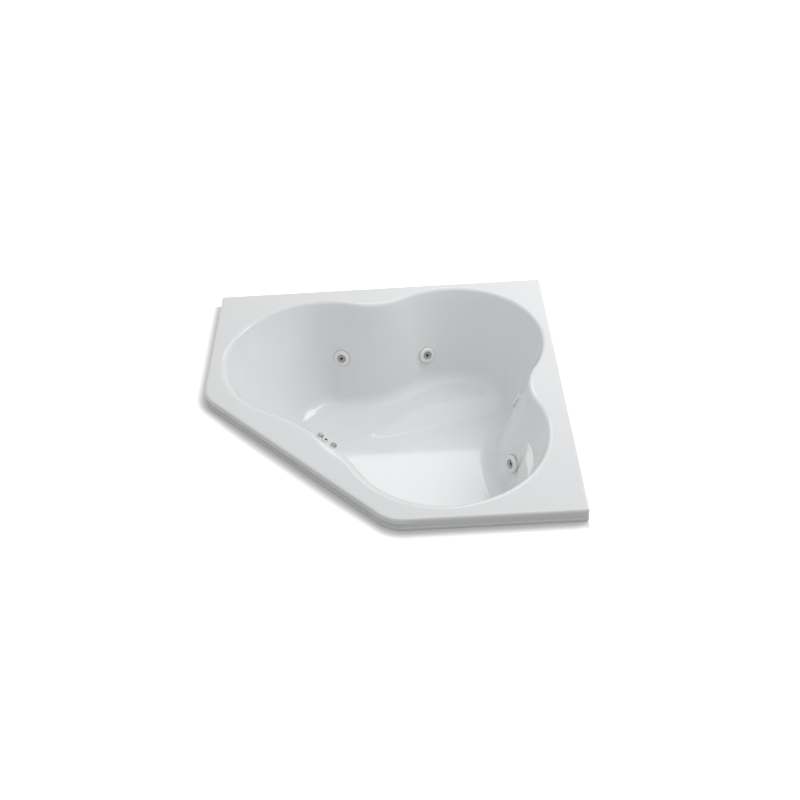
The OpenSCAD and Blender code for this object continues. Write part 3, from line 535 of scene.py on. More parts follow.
def tidy(verts, faces):
    """Merges doubled points, as at the pole of a turned shape, and drops faces that fold up"""
    bm = bmesh.new()
    vs = [bm.verts.new(v) for v in verts]
    for g in faces:
        try:
            bm.faces.new([vs[i] for i in g])
        except ValueError:
            pass
    bmesh.ops.remove_doubles(bm, verts=bm.verts, dist=1e-4)
    bmesh.ops.dissolve_degenerate(bm, dist=1e-4, edges=bm.edges)
    bmesh.ops.recalc_face_normals(bm, faces=bm.faces)
    bm.verts.index_update()
    out = [v.co.copy() for v in bm.verts], [tuple(v.index for v in g.verts) for g in bm.faces]
    bm.free()
    return out


def turned(name, node, material, f, *shapes):
    """A piece of turned shapes on one frame; a shape is its profile and what lathe() takes beside it"""
    verts, faces = join([lathe(profile, f, **how) for profile, how in shapes])
    return piece(name, verts, faces, material, BODY_OF[node], SLOT_OF[node], [node])


def prism(f, x, y, z0, z1, r=1.0):
    """A block on a frame with its upright edges rounded, from half widths and two heights"""
    corners = [(x - r, y - r, 0), (r - x, y - r, 90), (r - x, r - y, 180), (x - r, r - y, 270)]
    spots = [(a + r*cosd(g + 22.5*k), b + r*sind(g + 22.5*k)) for a, b, g in corners for k in range(5)]
    n, levels = len(spots), [(z0, r*0.4), (z0 + r*0.4, 0), (z1 - r*0.4, 0), (z1, r*0.4)]
    verts = [at(f, a - math.copysign(e, a), b - math.copysign(e, b), z) for z, e in levels for a, b in spots]
    faces = [(i*n + j, i*n + (j + 1) % n, (i + 1)*n + (j + 1) % n, (i + 1)*n + j)
             for i in range(len(levels) - 1) for j in range(n)]
    return verts, faces + [tuple(range(n)), tuple(range(3*n, 4*n))]


def upright(x, y, z=0):
    """A frame that stands upright at a place"""
    return Vector((x, y, z)), Vector((1, 0, 0)), Vector((0, 1, 0)), Vector((0, 0, 1))


# The shell

def steps(a, b, n):
    """Even steps from one value up to, not with, another"""
    return [a + (b - a)*i/n for i in range(n)]


def half_rays():
    """Rays of the right half, close together round the corners of the rim"""
    side, front_q = sizes().side/MM, (sizes().side + sizes().wing)/MM/ROOT2
    r, fr = SQUARE_CORNER_R, FRONT_CORNER_R
    room = ray_angle((r*ROOT2 - r/ROOT2, r/ROOT2))
    c = (side/ROOT2, (side - 2*r)/ROOT2)
    square = [ray_angle((c[0] + k*r/ROOT2, c[1] + r/ROOT2)) for k in (-1, 1)]
    fq = front_q - fr
    c = (fq, ROOT2*(side - fr) - fq)
    front = [ray_angle((c[0] + fr/ROOT2, c[1] + fr/ROOT2)), ray_angle((front_q, c[1]))]
    ends = [0, room] + square + front + [180]
    counts = [3, 84, 7, 44, 14, 48]
    return [p for i, n in enumerate(counts) for p in steps(ends[i], ends[i + 1], n)] + [180]


def lerp(a, b, t):
    return a + (b - a)*t


def smooth_min(a, b, k):
    """The lower of two values, with a smooth turn where they come within k of each other"""
    return min(a, b) - max(k - abs(a - b), 0)**2/(4*k)


def arm_shape(p):
    """How far the armrest stands out of the wall on a ray"""
    if not ARM_SPAN[0] < p < ARM_SPAN[1]:
        return 0
    return sizes().arm_w/MM*sind(180*(p - ARM_SPAN[0])/(ARM_SPAN[1] - ARM_SPAN[0]))**2


def step_height(q, w, p):
    """Height of the step above the floor at a place in plan and its ray, negative on the left"""
    full = sizes().step_h/MM
    dist = (q - STEP_TIP_Q)*math.sin(STEP_SLOPE) + w*math.cos(STEP_SLOPE)
    top = full*ease((p - STEP_START)/STEP_RISE)
    if top < 0.01:
        return 0
    high = smooth_min(top, (STEP_RUN - dist)*full/STEP_RUN, min(6, top))
    return max(0, -smooth_min(-high, 0, min(3, top)))


def foot_depth(p):
    """Depth of the floor or the step where the wall runs into it"""
    depth = d = sizes().basin_depth/MM
    for _ in range(3):
        low = d - BASE_R*(1 - math.cos(FALL))
        q, w = basin_plan(abs(p), wall_inset(low) + BASE_R*math.sin(FALL), d)
        d = depth - step_height(q, w if p >= 0 else -w, p)
    return d


def wall_profile(p, t):
    """Insets and depths from the roll to the foot of the wall, for the face or the back at thickness t"""
    d = foot_depth(p)
    r, b = ROLL_R - t, BASE_R + t
    out = [(r*math.sin(FALL*k/10), ROLL_R - r*math.cos(FALL*k/10)) for k in range(1, 11)]
    if t == 0:
        tight = TIGHT_ROLL_R + (ROLL_R - TIGHT_ROLL_R)*ease((abs(p) - TIGHT_SPAN[0])/TIGHT_SPAN[1])
        shift = (ROLL_R - tight)*math.tan(FALL/2)
        out = [(shift + tight*math.sin(FALL*k/10), tight*(1 - math.cos(FALL*k/10))) for k in range(1, 11)]
    low = d - BASE_R*(1 - math.cos(FALL))
    foot = wall_inset(low) + BASE_R*math.sin(FALL)
    top = ROLL_R - r*math.cos(FALL)
    arm = arm_shape(p) if t == 0 else 0
    rows = [(top + (ARM_DEPTH + ARM_LEDGE[0][0] - top)*k/4, 0) for k in (1, 2, 3)]
    rows += [(ARM_DEPTH + e, share) for e, share in ARM_LEDGE]
    start = rows[-1][0]
    rows += [(start + (low - start)*k/12, 1.02 - 0.57*ease(k/12)) for k in range(1, 12)]
    out += [(wall_inset(e, t) + arm*share, e) for e, share in rows]
    for k in range(12, -1, -1):
        a = FALL*k/12
        out.append((foot - b*math.sin(a) + arm*0.45*k/12, d - BASE_R + b*math.cos(a)))
    return out


def floor_point(p, e, ring, t):
    """A point of the floor: rings run from the foot of the wall past the step to the middle"""
    kind, out, share = ring
    a = abs(p)
    foot = basin_plan(a, e[0], e[1])
    far = basin_plan(a, e[0] + 4 + (out - STEP_OFFSETS[0])*0.4, e[1])
    g = math.copysign(ray_angle(far), p)
    far_k = math.dist(far, (HUB_Q, 0))
    slope = math.tan(STEP_SLOPE)
    near_k = (HUB_Q - STEP_TIP_Q - out/math.sin(STEP_SLOPE))*slope/max(0.3, slope*cosd(g) - sind(g))
    k = lerp(far_k, smooth_min(near_k, far_k, 12), ease((p - STEP_START)/16))
    line = (HUB_Q - k*cosd(g), k*sind(abs(g)))
    start, end = (foot, line) if kind < 0 else (line, (MIDDLE_Q, 0))
    m = (start[0]*(1 - share) + end[0]*share, start[1]*(1 - share) + end[1]*share)
    w = m[1] if p >= 0 else -m[1]
    x, y = plan(m[0], w)
    return Vector((x, y, (sizes().rim_h - sizes().basin_depth)/MM + step_height(m[0], w, p) - t))


def floor_rings():
    """Kind, offset from the nose of the step and share of the way, from the wall to the middle"""
    rings = [(-1, STEP_OFFSETS[0], k/6) for k in range(1, 6)]
    rings += [(0, o, 0) for o in STEP_OFFSETS]
    return rings + [(1, STEP_OFFSETS[-1], k/13) for k in range(1, 13)]


def section(p, right, t):
    """Points of one ray from the rim's edge to the middle, on the face or on the back"""
    s = sizes()
    side_p = p if right else -p
    rim_h, edge_z = s.rim_h/MM, (s.rim_h - s.edge_h)/MM
    if t == 0:
        r, b, z = EDGE_R, LIP_OUT, edge_z + LIP_H
        bead = ease((p - BEAD_SPAN[0])/BEAD_SPAN[1])
        edge = [(0.8, edge_z), (0, edge_z + 0.8), (0, z - 1), (0.4, z), (b + 2.1*bead, z + 0.3),
                (b + 2.3*bead, z + 1.6), (b, z + 2.2)]
        edge += [(b + (i - b)*bead, rim_h - e) for i, e in BEAD] + [(b, rim_h - r)]
        edge += [(b + r - r*cosd(15*k), rim_h - r + r*sind(15*k)) for k in range(1, 7)]
        first = b + r
    else:
        edge = [(t, edge_z), (t, rim_h - t - 6), (t + 2, rim_h - t - 2), (t + 6, rim_h - t)]
        first = t + 6
    points = [rim_point(p, i, z) for i, z in edge]
    inner = basin_point(side_p, 0, t)
    outer = rim_point(p, first, rim_h - t)
    if not right:
        points = [mirror_plan(v) for v in points]
        outer = mirror_plan(outer)
    n = 6 if t == 0 else 4
    points += [outer.lerp(inner, k/n) for k in range(1, n + 1)]
    wall = wall_profile(side_p, t)
    points += [basin_point(side_p, i, d) for i, d in wall]
    return points + [floor_point(side_p, wall[-1], ring, t) for ring in floor_rings()]


def mirror_plan(v):
    """The same place on the other side of the diagonal"""
    return Vector((v.y, v.x, v.z))


def roll_frame(p, k):
    """A frame on the roll round the top of the basin, at an angle from its start"""
    def at_roll(a, b):
        b = math.radians(b)
        return basin_point(a, ROLL_R*math.sin(b), ROLL_R - ROLL_R*math.cos(b))
    n = (at_roll(p, k + 1) - at_roll(p, k - 1)).cross(at_roll(p + 0.2, k) - at_roll(p - 0.2, k))
    return frame_of(at_roll(p, k), n.normalized())


def wall_fittings():
    """Frame, flat radius, seats on the face and the back, and bore of each fitting on the wall"""
    return ([(f, 38, PAD_OUT, PAD_BACK, 22) for f in JETS]
            + [(suction_frame(), 51, PAD_OUT, PAD_BACK, 30), (OVERFLOW, 37, PAD_OUT, PAD_BACK, 18)])


def suction_frame():
    return wall_frame(SUCTION_RAY, sizes().basin_depth/MM - SUCTION_LIFT)


def control_frames():
    """The two air controls, then the push button between them"""
    return CONTROLS + [roll_frame(*BUTTON_ON_ROLL)]


def seat_on_wall(v, face, seats):
    """Draws a point of the wall to the flat seat of a fitting near it"""
    for f, flat, front, back, _ in seats:
        d = v - f[0]
        if d.length > flat + 45:
            continue
        x, y, z = d.dot(f[1]), d.dot(f[2]), d.dot(f[3])
        if abs(z) > 24:
            continue
        share = 1 - ease((math.hypot(x, y) - flat - 1)/(14 if face else 12))
        v = at(f, x, y, z + share*((front if face else back) - z))
    return v


def shell_mesh():
    rays = half_rays()
    columns = [(p, True) for p in rays] + [(p, False) for p in reversed(rays[1:-1])]
    verts, sides, seats = [], [], wall_fittings()
    for t in (0, sizes().shell_t/MM):
        rows = [section(p, right, t) for p, right in columns]
        start, m = len(verts), len(rows[0])
        for row in rows:
            verts += [seat_on_wall(v, t == 0, seats) for v in row]
        verts.append(Vector((*plan(MIDDLE_Q, 0), (sizes().rim_h - sizes().basin_depth)/MM - t)))
        sides.append((start, m, len(verts) - 1))
    n = len(columns)
    faces, kinds = [], []
    for side, (start, m, centre) in enumerate(sides):
        for i in range(n):
            a, b = start + i*m, start + (i + 1) % n*m
            strip = [(a + j, a + j + 1, b + j + 1, b + j) for j in range(m - 1)]
            strip.append((a + m - 1, centre, b + m - 1))
            faces += strip if side else [g[:1] + g[:0:-1] for g in strip]
            kinds += [side]*m
    (s0, m0, _), (s1, m1, _) = sides
    for i in range(n):
        k = (i + 1) % n
        faces.append((s0 + i*m0, s1 + i*m1, s1 + k*m1, s0 + k*m0))
        kinds.append(0)
    return verts, faces, kinds


def cut(o, tools, operation="DIFFERENCE"):
    """Cuts solids away from an object, or joins them to it"""
    for shape in tools:
        tool = solid("tool", shape)
        m = o.modifiers.new("cut", "BOOLEAN")
        m.object = tool
        m.operation = operation
        m.solver = "EXACT"
        keep_made(o)
        bpy.data.objects.remove(tool)


def keep_made(o):
    """Keeps the mesh that an object's modifiers make"""
    made = bpy.data.meshes.new_from_object(o.evaluated_get(bpy.context.evaluated_depsgraph_get()))
    o.modifiers.clear()
    o.data = made


class TubShell(bpy.types.Operator):
    """Makes the shell: rim, roll, walls, armrest, step and floor, with its sprayed back"""
    bl_idname = "bathtub.shell"
    bl_label = "Shell"

    def execute(self, context):
        verts, faces, kinds = shell_mesh()
        o = piece("bath_shell", verts, faces, ["acrylic", "backing"], "tub", "acrylic", ["tub_shell"], kinds,
                  turn_out=False)
        boss = rounded([(0, -12), (15, -12), (15, 1), (0, 1)], [0.5, 1.2])
        cut(o, [join([lathe(boss, f, 48) for f in control_frames()])], "UNION")
        bores = [rod(r, -40, 30, f, 48) for f, _, _, _, r in wall_fittings()]
        bores += [rod(9, -40, 30, f) for f in control_frames()]
        cut(o, [join(bores + [rod(26, 60, 110, upright(*plan(DRAIN_Q, 0)), 64)])])
        return {"FINISHED"}


# Geometry Nodes trees: a tube along a path, copies of a piece at places, and a perforated cover

def new_tree(name, inputs):
    """A tree with geometry in and out and the named inputs; gives the tree, its inputs and its end"""
    t = bpy.data.node_groups.new(name, "GeometryNodeTree")
    t.interface.new_socket("Geometry", in_out="INPUT", socket_type="NodeSocketGeometry")
    for label, kind in inputs:
        t.interface.new_socket(label, in_out="INPUT", socket_type=kind)
    t.interface.new_socket("Geometry", in_out="OUTPUT", socket_type="NodeSocketGeometry")
    return t, t.nodes.new("NodeGroupInput").outputs, t.nodes.new("NodeGroupOutput")


def close_tree(t, geometry, material, end):
    """Ends a tree with real geometry in one material"""
    real = add(t, "GeometryNodeRealizeInstances", {"Geometry": geometry})
    paint = add(t, "GeometryNodeSetMaterial", {"Geometry": real.outputs["Geometry"], "Material": material})
    t.links.new(paint.outputs["Geometry"], end.inputs["Geometry"])
    return t


def tube_tree():
    """Sweeps a round section along the paths of a mesh"""
    t, start, end = new_tree("tube_along_path", [("Radius", "NodeSocketFloat"), ("Sides", "NodeSocketInt"),
                                                 ("Material", "NodeSocketMaterial")])
    path = add(t, "GeometryNodeMeshToCurve", {"Mesh": start["Geometry"]})
    ring = add(t, "GeometryNodeCurvePrimitiveCircle", {"Resolution": start["Sides"],
                                                       "Radius": start["Radius"]})
    swept = add(t, "GeometryNodeCurveToMesh", {"Curve": path.outputs["Curve"],
                                               "Profile Curve": ring.outputs["Curve"], "Fill Caps": True})
    return close_tree(t, swept.outputs["Mesh"], start["Material"], end)


def placed_on(t, points, instance):
    """Puts an instance on every point, turned by the point's own rotation"""
    turn = add(t, "GeometryNodeInputNamedAttribute", {"Name": "turn"}, data_type="FLOAT_VECTOR")
    made = add(t, "GeometryNodeInstanceOnPoints", {"Points": points, "Instance": instance,
                                                   "Rotation": turn.outputs["Attribute"]})
    return made.outputs["Instances"]


def copies_tree():
    """Places a copy of an object at every point of a mesh"""
    t, start, end = new_tree("copies_at_places", [("Copied", "NodeSocketObject"),
                                                  ("Material", "NodeSocketMaterial")])
    copied = add(t, "GeometryNodeObjectInfo", {"Object": start["Copied"]}, transform_space="ORIGINAL")
    return close_tree(t, placed_on(t, start["Geometry"], copied.outputs["Geometry"]), start["Material"], end)


def perforate_tree():
    """Bores a round hole through a cover at every point of another object"""
    t, start, end = new_tree("perforated_cover", [("Holes", "NodeSocketObject"),
                                                  ("Radius", "NodeSocketFloat"),
                                                  ("Depth", "NodeSocketFloat"),
                                                  ("Material", "NodeSocketMaterial")])
    holes = add(t, "GeometryNodeObjectInfo", {"Object": start["Holes"]}, transform_space="ORIGINAL")
    bit = add(t, "GeometryNodeMeshCylinder", {"Vertices": 20, "Radius": start["Radius"],
                                              "Depth": start["Depth"]})
    bits = placed_on(t, holes.outputs["Geometry"], bit.outputs["Mesh"])
    real = add(t, "GeometryNodeRealizeInstances", {"Geometry": bits})
    bored = add(t, "GeometryNodeMeshBoolean", {"Mesh 1": start["Geometry"],
                                               "Mesh 2": real.outputs["Geometry"]},
                operation="DIFFERENCE", solver="EXACT")
    return close_tree(t, bored.outputs["Mesh"], start["Material"], end)


TREES = {}


def grow(o, tree, values):
    """Runs a tree on an object with its inputs set by socket identifier, and keeps the mesh that it makes"""
    m = o.modifiers.new(tree, "NODES")
    m.node_group = TREES[tree]
    for item in TREES[tree].interface.items_tree:
        if item.in_out == "INPUT" and item.name in values:
            m[item.identifier] = values[item.name]
    o.update_tag()
    bpy.context.view_layer.update()
    keep_made(o)
    shade(o)
    return o


def bare(name, verts, edges=(), faces=(), turns=None):
    """A mesh object, in metres, from points in millimetres, with a rotation for each point where asked"""
    mesh = bpy.data.meshes.new(name)
    mesh.from_pydata([tuple(Vector(v)*MM) for v in verts], edges, faces)
    if turns:
        turn = mesh.attributes.new("turn", "FLOAT_VECTOR", "POINT")
        turn.data.foreach_set("vector", [c for t in turns for c in t])
    o = bpy.data.objects.new(name, mesh)
    bpy.context.scene.collection.objects.link(o)
    return o


def solid(name, shape):
    return bare(name, shape[0], [], shape[1])


def turn_of(f):
    return tuple(Matrix((f[1], f[2], f[3])).transposed().to_euler())


def tubes(name, node, material, paths, r, sides=24):
    """Round tubes along paths, as one piece"""
    verts = [v for path in paths for v in path]
    edges, k = [], 0
    for path in paths:
        edges += [(k + i, k + i + 1) for i in range(len(path) - 1)]
        k += len(path)
    o = grow(bare(name, verts, edges), "tube_along_path",
             {"Radius": r*MM, "Sides": sides, "Material": MATERIALS[material]})
    return settle(o, BODY_OF[node], SLOT_OF[node], [node])


def copies(name, node, material, shape, frames, replaced=True):
    """A copy of one shape on each frame, as one piece"""
    source = solid("copied", shape)
    places = bare(name, [f[0] for f in frames], turns=[turn_of(f) for f in frames])
    grow(places, "copies_at_places", {"Copied": source, "Material": MATERIALS[material]})
    bpy.data.objects.remove(source)
    return settle(places, BODY_OF[node], SLOT_OF[node], [node] if replaced else [])


def perforate(o, f, circles, r, depth, z, material):
    """Bores holes through an object: a circle is its radius, its count of holes and the first one's angle"""
    spots = [(c, g0 + 360*i/n) for c, n, g0 in circles for i in range(n)]
    holes = bare("holes", [at(f, c*cosd(g), c*sind(g), z) for c, g in spots], turns=[turn_of(f)]*len(spots))
    grow(o, "perforated_cover", {"Holes": holes, "Radius": r*MM, "Depth": depth*MM,
                                 "Material": MATERIALS[material]})
    bpy.data.objects.remove(holes)


# Jets

BALL_Z = -8
BALL_R = 16.5
BARREL_Z = -48
AIR_X, AIR_Z = -44, -32
NOZZLE_BORE_R = 5.8
ORIGIN = upright(0, 0)


def arc(r, z, a, b, n):
    """Points of a ball's outline about a height, between two angles above its middle"""
    return [(r*cosd(a + (b - a)*i/n), z + r*sind(a + (b - a)*i/n)) for i in range(n + 1)]


def finger_grips(r, z, g):
    """Raises three smooth grips round a ring's face"""
    if z < 10 or r < 19:
        return r, z
    lift = 0
    for k in (90, 210, 330):
        d = math.hypot(r*math.cos(g) - 27*cosd(k), r*math.sin(g) - 27*sind(k))
        lift = max(lift, 1 - ease((d - 1.6)/2.6))
    return r, z + 2*lift


def second_material(o, f, chosen):
    """Gives faces the second material, by distance off the axis, height and whether they face outwards"""
    for polygon in o.data.polygons:
        d = polygon.center/MM - f[0]
        off = d - f[3]*d.dot(f[3])
        if chosen(off.length, d.dot(f[3]), polygon.normal.dot(off)):
            polygon.material_index = 1


class Jets(bpy.types.Operator):
    """Makes the six jets: wall fittings, turning rings and tilting nozzles"""
    bl_idname = "bathtub.jets"
    bl_label = "Jets"

    def execute(self, context):
        fitting = closed([(22, 7.2), (18.5, 7.2), (18.5, -26), (14, -28), (14, -30), (21.9, -30), (21.9, 3.2),
                          (36, 3.2), (36, 5.4), (33.6, 7.2)], [1, 0.6, 0.4, 0.4, 0.4, 0.4, 0.3, 0.3, 1, 1.5])
        copies("jet_flanges", "jet_wall_fittings", "fitting", lathe(fitting, ORIGIN, 72, True), JETS)
        # A rubber gasket edge peeking out round each flange; its near-black line also stands in for the shadow gap
        # under the flange, as painted shade
        bead = closed([(35.8, 2.4), (37.1, 2.4), (36.8, 3.8), (35.8, 4)], [0.2, 0.3, 0.4, 0.2])
        copies("jet_seal_lines", "jet_gaskets", "rubber", lathe(bead, ORIGIN, 72, True), JETS, replaced=False)
        face = [(34, 7.6), (34, 9.4), (31.4, 12.3), (30.4, 12.7), (29.4, 13), (28.4, 13.3), (27.4, 13.6)]
        face += [(26.4 - k, 13.7) for k in range(7)] + [(19.8, 13.5), (19.4, 13.1), (13, 2.6)]
        seat = arc(BALL_R + 0.15, BALL_Z, 38, 0, 6)
        ring = [(18.4, -15.7), (18.4, 7.4), (33.7, 7.4)] + face + seat + [(BALL_R + 0.15, -16), (18.1, -16)]
        nose = [(10.7, 4.5), (8.4, 4.7), (8.1, 5.2), (7.5, 8.6), (7.2, 9), (6.2, 9), (NOZZLE_BORE_R, 8.6)]
        bore = [(NOZZLE_BORE_R, 4), (NOZZLE_BORE_R, -10), (10.2, -18.8), (10.6, -19)]
        ball = arc(BALL_R, BALL_Z, -42, 49, 22)
        for i, f in enumerate(JETS, 1):
            o = turned(f"swivel_ring_{i}", f"jet_ring_{i}", ["fitting", "nozzle"], f,
                       (ring, {"n": 96, "ring": True, "ripple": finger_grips}))
            # The ring's dish round the nozzle takes the darker nozzle grey instead of the ring's white: painted
            # shade for the recess
            second_material(o, f, lambda off, h, side: h > -9 and off < 19.2)
            o = turned(f"nozzle_{i}", f"jet_nozzle_{i}", ["nozzle", "recess"], f,
                       (ball + nose + bore, {"n": 48, "ring": True}))
            # The bores and the hidden back of each nozzle take the near-black tone: painted shade down the bore
            second_material(o, f, lambda off, h, side: off < NOZZLE_BORE_R + 0.1 or (h < -9 and side < 0))
        return {"FINISHED"}


# Suction fitting, drain, overflow and the controls on the roll

def screw_shape(r, head_r, head_h, length, recess):
    """A screw with a domed head whose face carries a cross recess, its head's underside at height 0"""
    profile = rounded([(0, -length), (r - 0.4, -length), (r, 0.5 - length), (r, 0), (head_r, 0),
                       (head_r, head_h*0.45), (head_r*0.55, head_h*0.92), (0, head_h)],
                      [0.2, 0.2, 0.1, 0.3, 0.6, 1.5])
    o = solid("screw", lathe(profile, ORIGIN, 32))
    for f in (upright(0, 0), (Vector((0, 0, 0)), Vector((0, 1, 0)), Vector((-1, 0, 0)), Vector((0, 0, 1)))):
        cut(o, [tidy(*prism(f, recess, recess*0.18, head_h*0.45, head_h + 3, recess*0.1))])
    shape = [v.co/MM for v in o.data.vertices], [tuple(g.vertices) for g in o.data.polygons]
    bpy.data.objects.remove(o)
    return shape


def moved(f, x, y, z=0):
    """The same frame at another place in it"""
    return (at(f, x, y, z),) + tuple(f[1:])


class WallFittings(bpy.types.Operator):
    """Makes the suction cover and its screws, the drain, the overflow and the controls on the roll"""
    bl_idname = "bathtub.wall_fittings"
    bl_label = "Suction, drain, overflow and controls"

    def execute(self, context):
        f = suction_frame()
        dome = rounded([(0, 13.2), (16, 12.4), (30, 8.4), (34, 3.3), (49.8, 3.3), (49.8, 4.4), (48, 7.2),
                        (38, 12.7), (22, 16.2), (0, 17.2)], [4, 2, 1, 0.4, 0.6, 1.5, 5, 8])
        o = turned("suction_grille", "suction_cover", "fitting", f, (dome, {"n": 96}))
        perforate(o, f, [(7, 6, 0), (14, 12, 0), (21, 18, 0), (28, 24, 0)], 1.7, 40, 10, "fitting")
        spots = [moved(f, 40*cosd(g), 40*sind(g), 8.2) for g in (45, 135, 225, 315)]
        screw = screw_shape(2.4, 4.8, 2.9, 31, 2.3)
        copies("suction_cover_screws", "suction_screws", "stainless", screw, spots)
        f = upright(*plan(DRAIN_Q, 0), (sizes().rim_h - sizes().basin_depth)/MM)
        flange = closed([(26, 4.1), (20, 4), (20, -25), (25.9, -25), (25.9, 0.1), (42.9, 0.1), (42, 2.2),
                         (30, 4.2)], [0.5, 1, 0.5, 0.5, 0.3, 0.1, 0.6, 4])
        hub = rounded([(0, -24), (8, -24), (8, -17), (0, -17)], [0.6, 0.6])
        o = turned("waste_flange", "drain_flange", "chrome", f, (flange, {"n": 96, "ring": True}))
        bars = [(f[0], Vector((cosd(g), sind(g), 0)), Vector((-sind(g), cosd(g), 0)), f[3])
                for g in (0, 60, 120)]
        cut(o, [lathe(hub, f, 32)] + [tidy(*prism(bar, 21, 1.4, -24, -19, 0.5)) for bar in bars], "UNION")
        cut(o, [rod(4.05, -60, 60, f)])
        shade(o)
        plug = rounded([(0, -34), (3.9, -34), (3.9, -5), (19.4, -5), (19.4, 4.3), (26, 4.3), (26, 5.6),
                        (21, 8.2), (0, 9)], [0.8, 0.6, 1, 0.4, 0.5, 1.2, 12])
        turned("waste_plug", "drain_stopper", "chrome", f, (plug, {"n": 72}))
        plate = closed([(20, 7.2), (5.1, 7.2), (5.1, 3.3), (34, 3.3), (34, 5), (31.6, 7.2)],
                       [0.3, 0.5, 0.3, 0.3, 0.8, 1.5])
        o = turned("overflow_face_plate", "overflow_plate", "chrome", OVERFLOW,
                   (plate, {"n": 96, "ring": True}))
        perforate(o, OVERFLOW, [(13, 8, 0)], 2.5, 30, 5, "chrome")
        handle = rounded([(0, -7.9), (5, -7.9), (5, 7.6), (9, 7.6), (9, 11.3), (28, 11.3), (30, 15),
                          (30, 21.4), (26.6, 24.4), (0, 25.1)], [0.8, 0.5, 0.5, 0.5, 0.8, 2, 1.6, 2.4, 14])
        turned("overflow_handle", "overflow_knob", "chrome", OVERFLOW,
               (handle, {"n": 144, "ripple": scallops(12, 30, 1.9, 11)}))
        dial = rounded([(0, -12), (3, -12), (3, 4), (11.5, 4), (11.5, 10), (9.5, 13), (0, 14)],
                       [0.5, 0.4, 0.6, 1, 1.2, 5])
        for side, f in zip(("left", "right"), CONTROLS):
            turned(f"{side}_air_dial", f"{side}_air_knob", "nickel", f,
                   (dial, {"n": 120, "ripple": scallops(24, 11.5, 0.35, 5)}))
        f = control_frames()[2]
        housing = closed([(7.6, 5.9), (6.6, 5), (6.6, -12), (3.4, -14), (3.4, -40), (8.9, -40), (8.9, 1.1),
                          (14.4, 1.1), (14.4, 3.6), (12.3, 5.9)],
                         [0.5, 0.5, 0.4, 0.3, 0.4, 0.4, 0.2, 0.3, 1, 1.4])
        turned("button_bezel", "button_housing", "fitting", f, (housing, {"n": 72, "ring": True}))
        cap = rounded([(0, -8), (6.4, -8), (6.4, 7.8), (5.2, 8.9), (0, 8.5)], [0.4, 0.8, 0.9])
        turned("push_button", "air_button", "button", f, (cap, {"n": 56}))
        return {"FINISHED"}


def scallops(count, r_from, deep, z_from):
    """A ripple that cuts even finger grooves into the rim of a knob"""
    def ripple(r, z, g):
        share = ease((r - r_from*0.72)/(r_from*0.22))*(1 if z > z_from else 0)
        return r - deep*share*max(0, math.cos(count*g))**2, z
    return ripple


# Pipes and hoses

WATER_PIPE_R = 10.4
SUCTION_PIPE_R = 19.9
AIR_HOSE_R = 3.9
SWITCH_HOSE_R = 3.3
# Distance along the shaft from the pump's axis point to the middle of the motor
MOTOR_MIDDLE = 445


def spline(c, i, t):
    """A place on a smooth curve through points, a share of the way past one of them"""
    a, b, d, e = c[max(0, i - 1)], c[i], c[i + 1], c[min(len(c) - 1, i + 2)]
    return 0.5*(2*b + (d - a)*t + (2*a - 5*b + 4*d - e)*t*t + (3*b - a - 3*d + e)*t*t*t)


def run(c, k=7):
    """A smooth path through points whose first and last stretches are straight"""
    middle = [spline(c, i, j/k) for i in range(1, len(c) - 2) for j in range(k)]
    return [c[0]] + middle + [c[-2], c[-1]]


def behind(p, d, back, lift=0):
    """A place behind the wall, from a ray, a depth and a distance back"""
    return at(wall_frame(p, d), 0, 0, back) + Vector((0, 0, lift))


def between(p0, p1, d0, d1, back, sag=0, shares=(0.22, 0.36, 0.5, 0.64, 0.78)):
    """Places behind the wall on the way from one ray and depth to another"""
    return [behind(lerp(p0, p1, t), lerp(d0, d1, t), back, sag*sind(180*t)) for t in shares]


def spigot(f, x, z, y0, y1):
    """The two ends of the straight stretch on a spigot"""
    return [at(f, x, y0, z), at(f, x, y1, z)]


def tee_frame():
    """The feed tee's frame: its middle, along it level and upright"""
    w = wall_frame(TEE_RAY, sizes().rim_h/MM - TEE_Z)
    m, g = at(w, 0, 0, BARREL_Z), math.atan2(-w[2].x, w[2].y)
    return (Vector((m.x, m.y, TEE_Z)), Vector((math.cos(g), math.sin(g), 0)),
            Vector((-math.sin(g), math.cos(g), 0)), Vector((0, 0, 1)))


TEE_RAY = -118.6
PUMP = [Vector(JOINTS["pump_spin"]["pos_m"])/MM - Vector((0, MOTOR_MIDDLE, 0)), Vector((1, 0, 0)),
        Vector((0, 0, -1)), Vector((0, 1, 0))]
TEE_Z = PUMP[0].z + 130


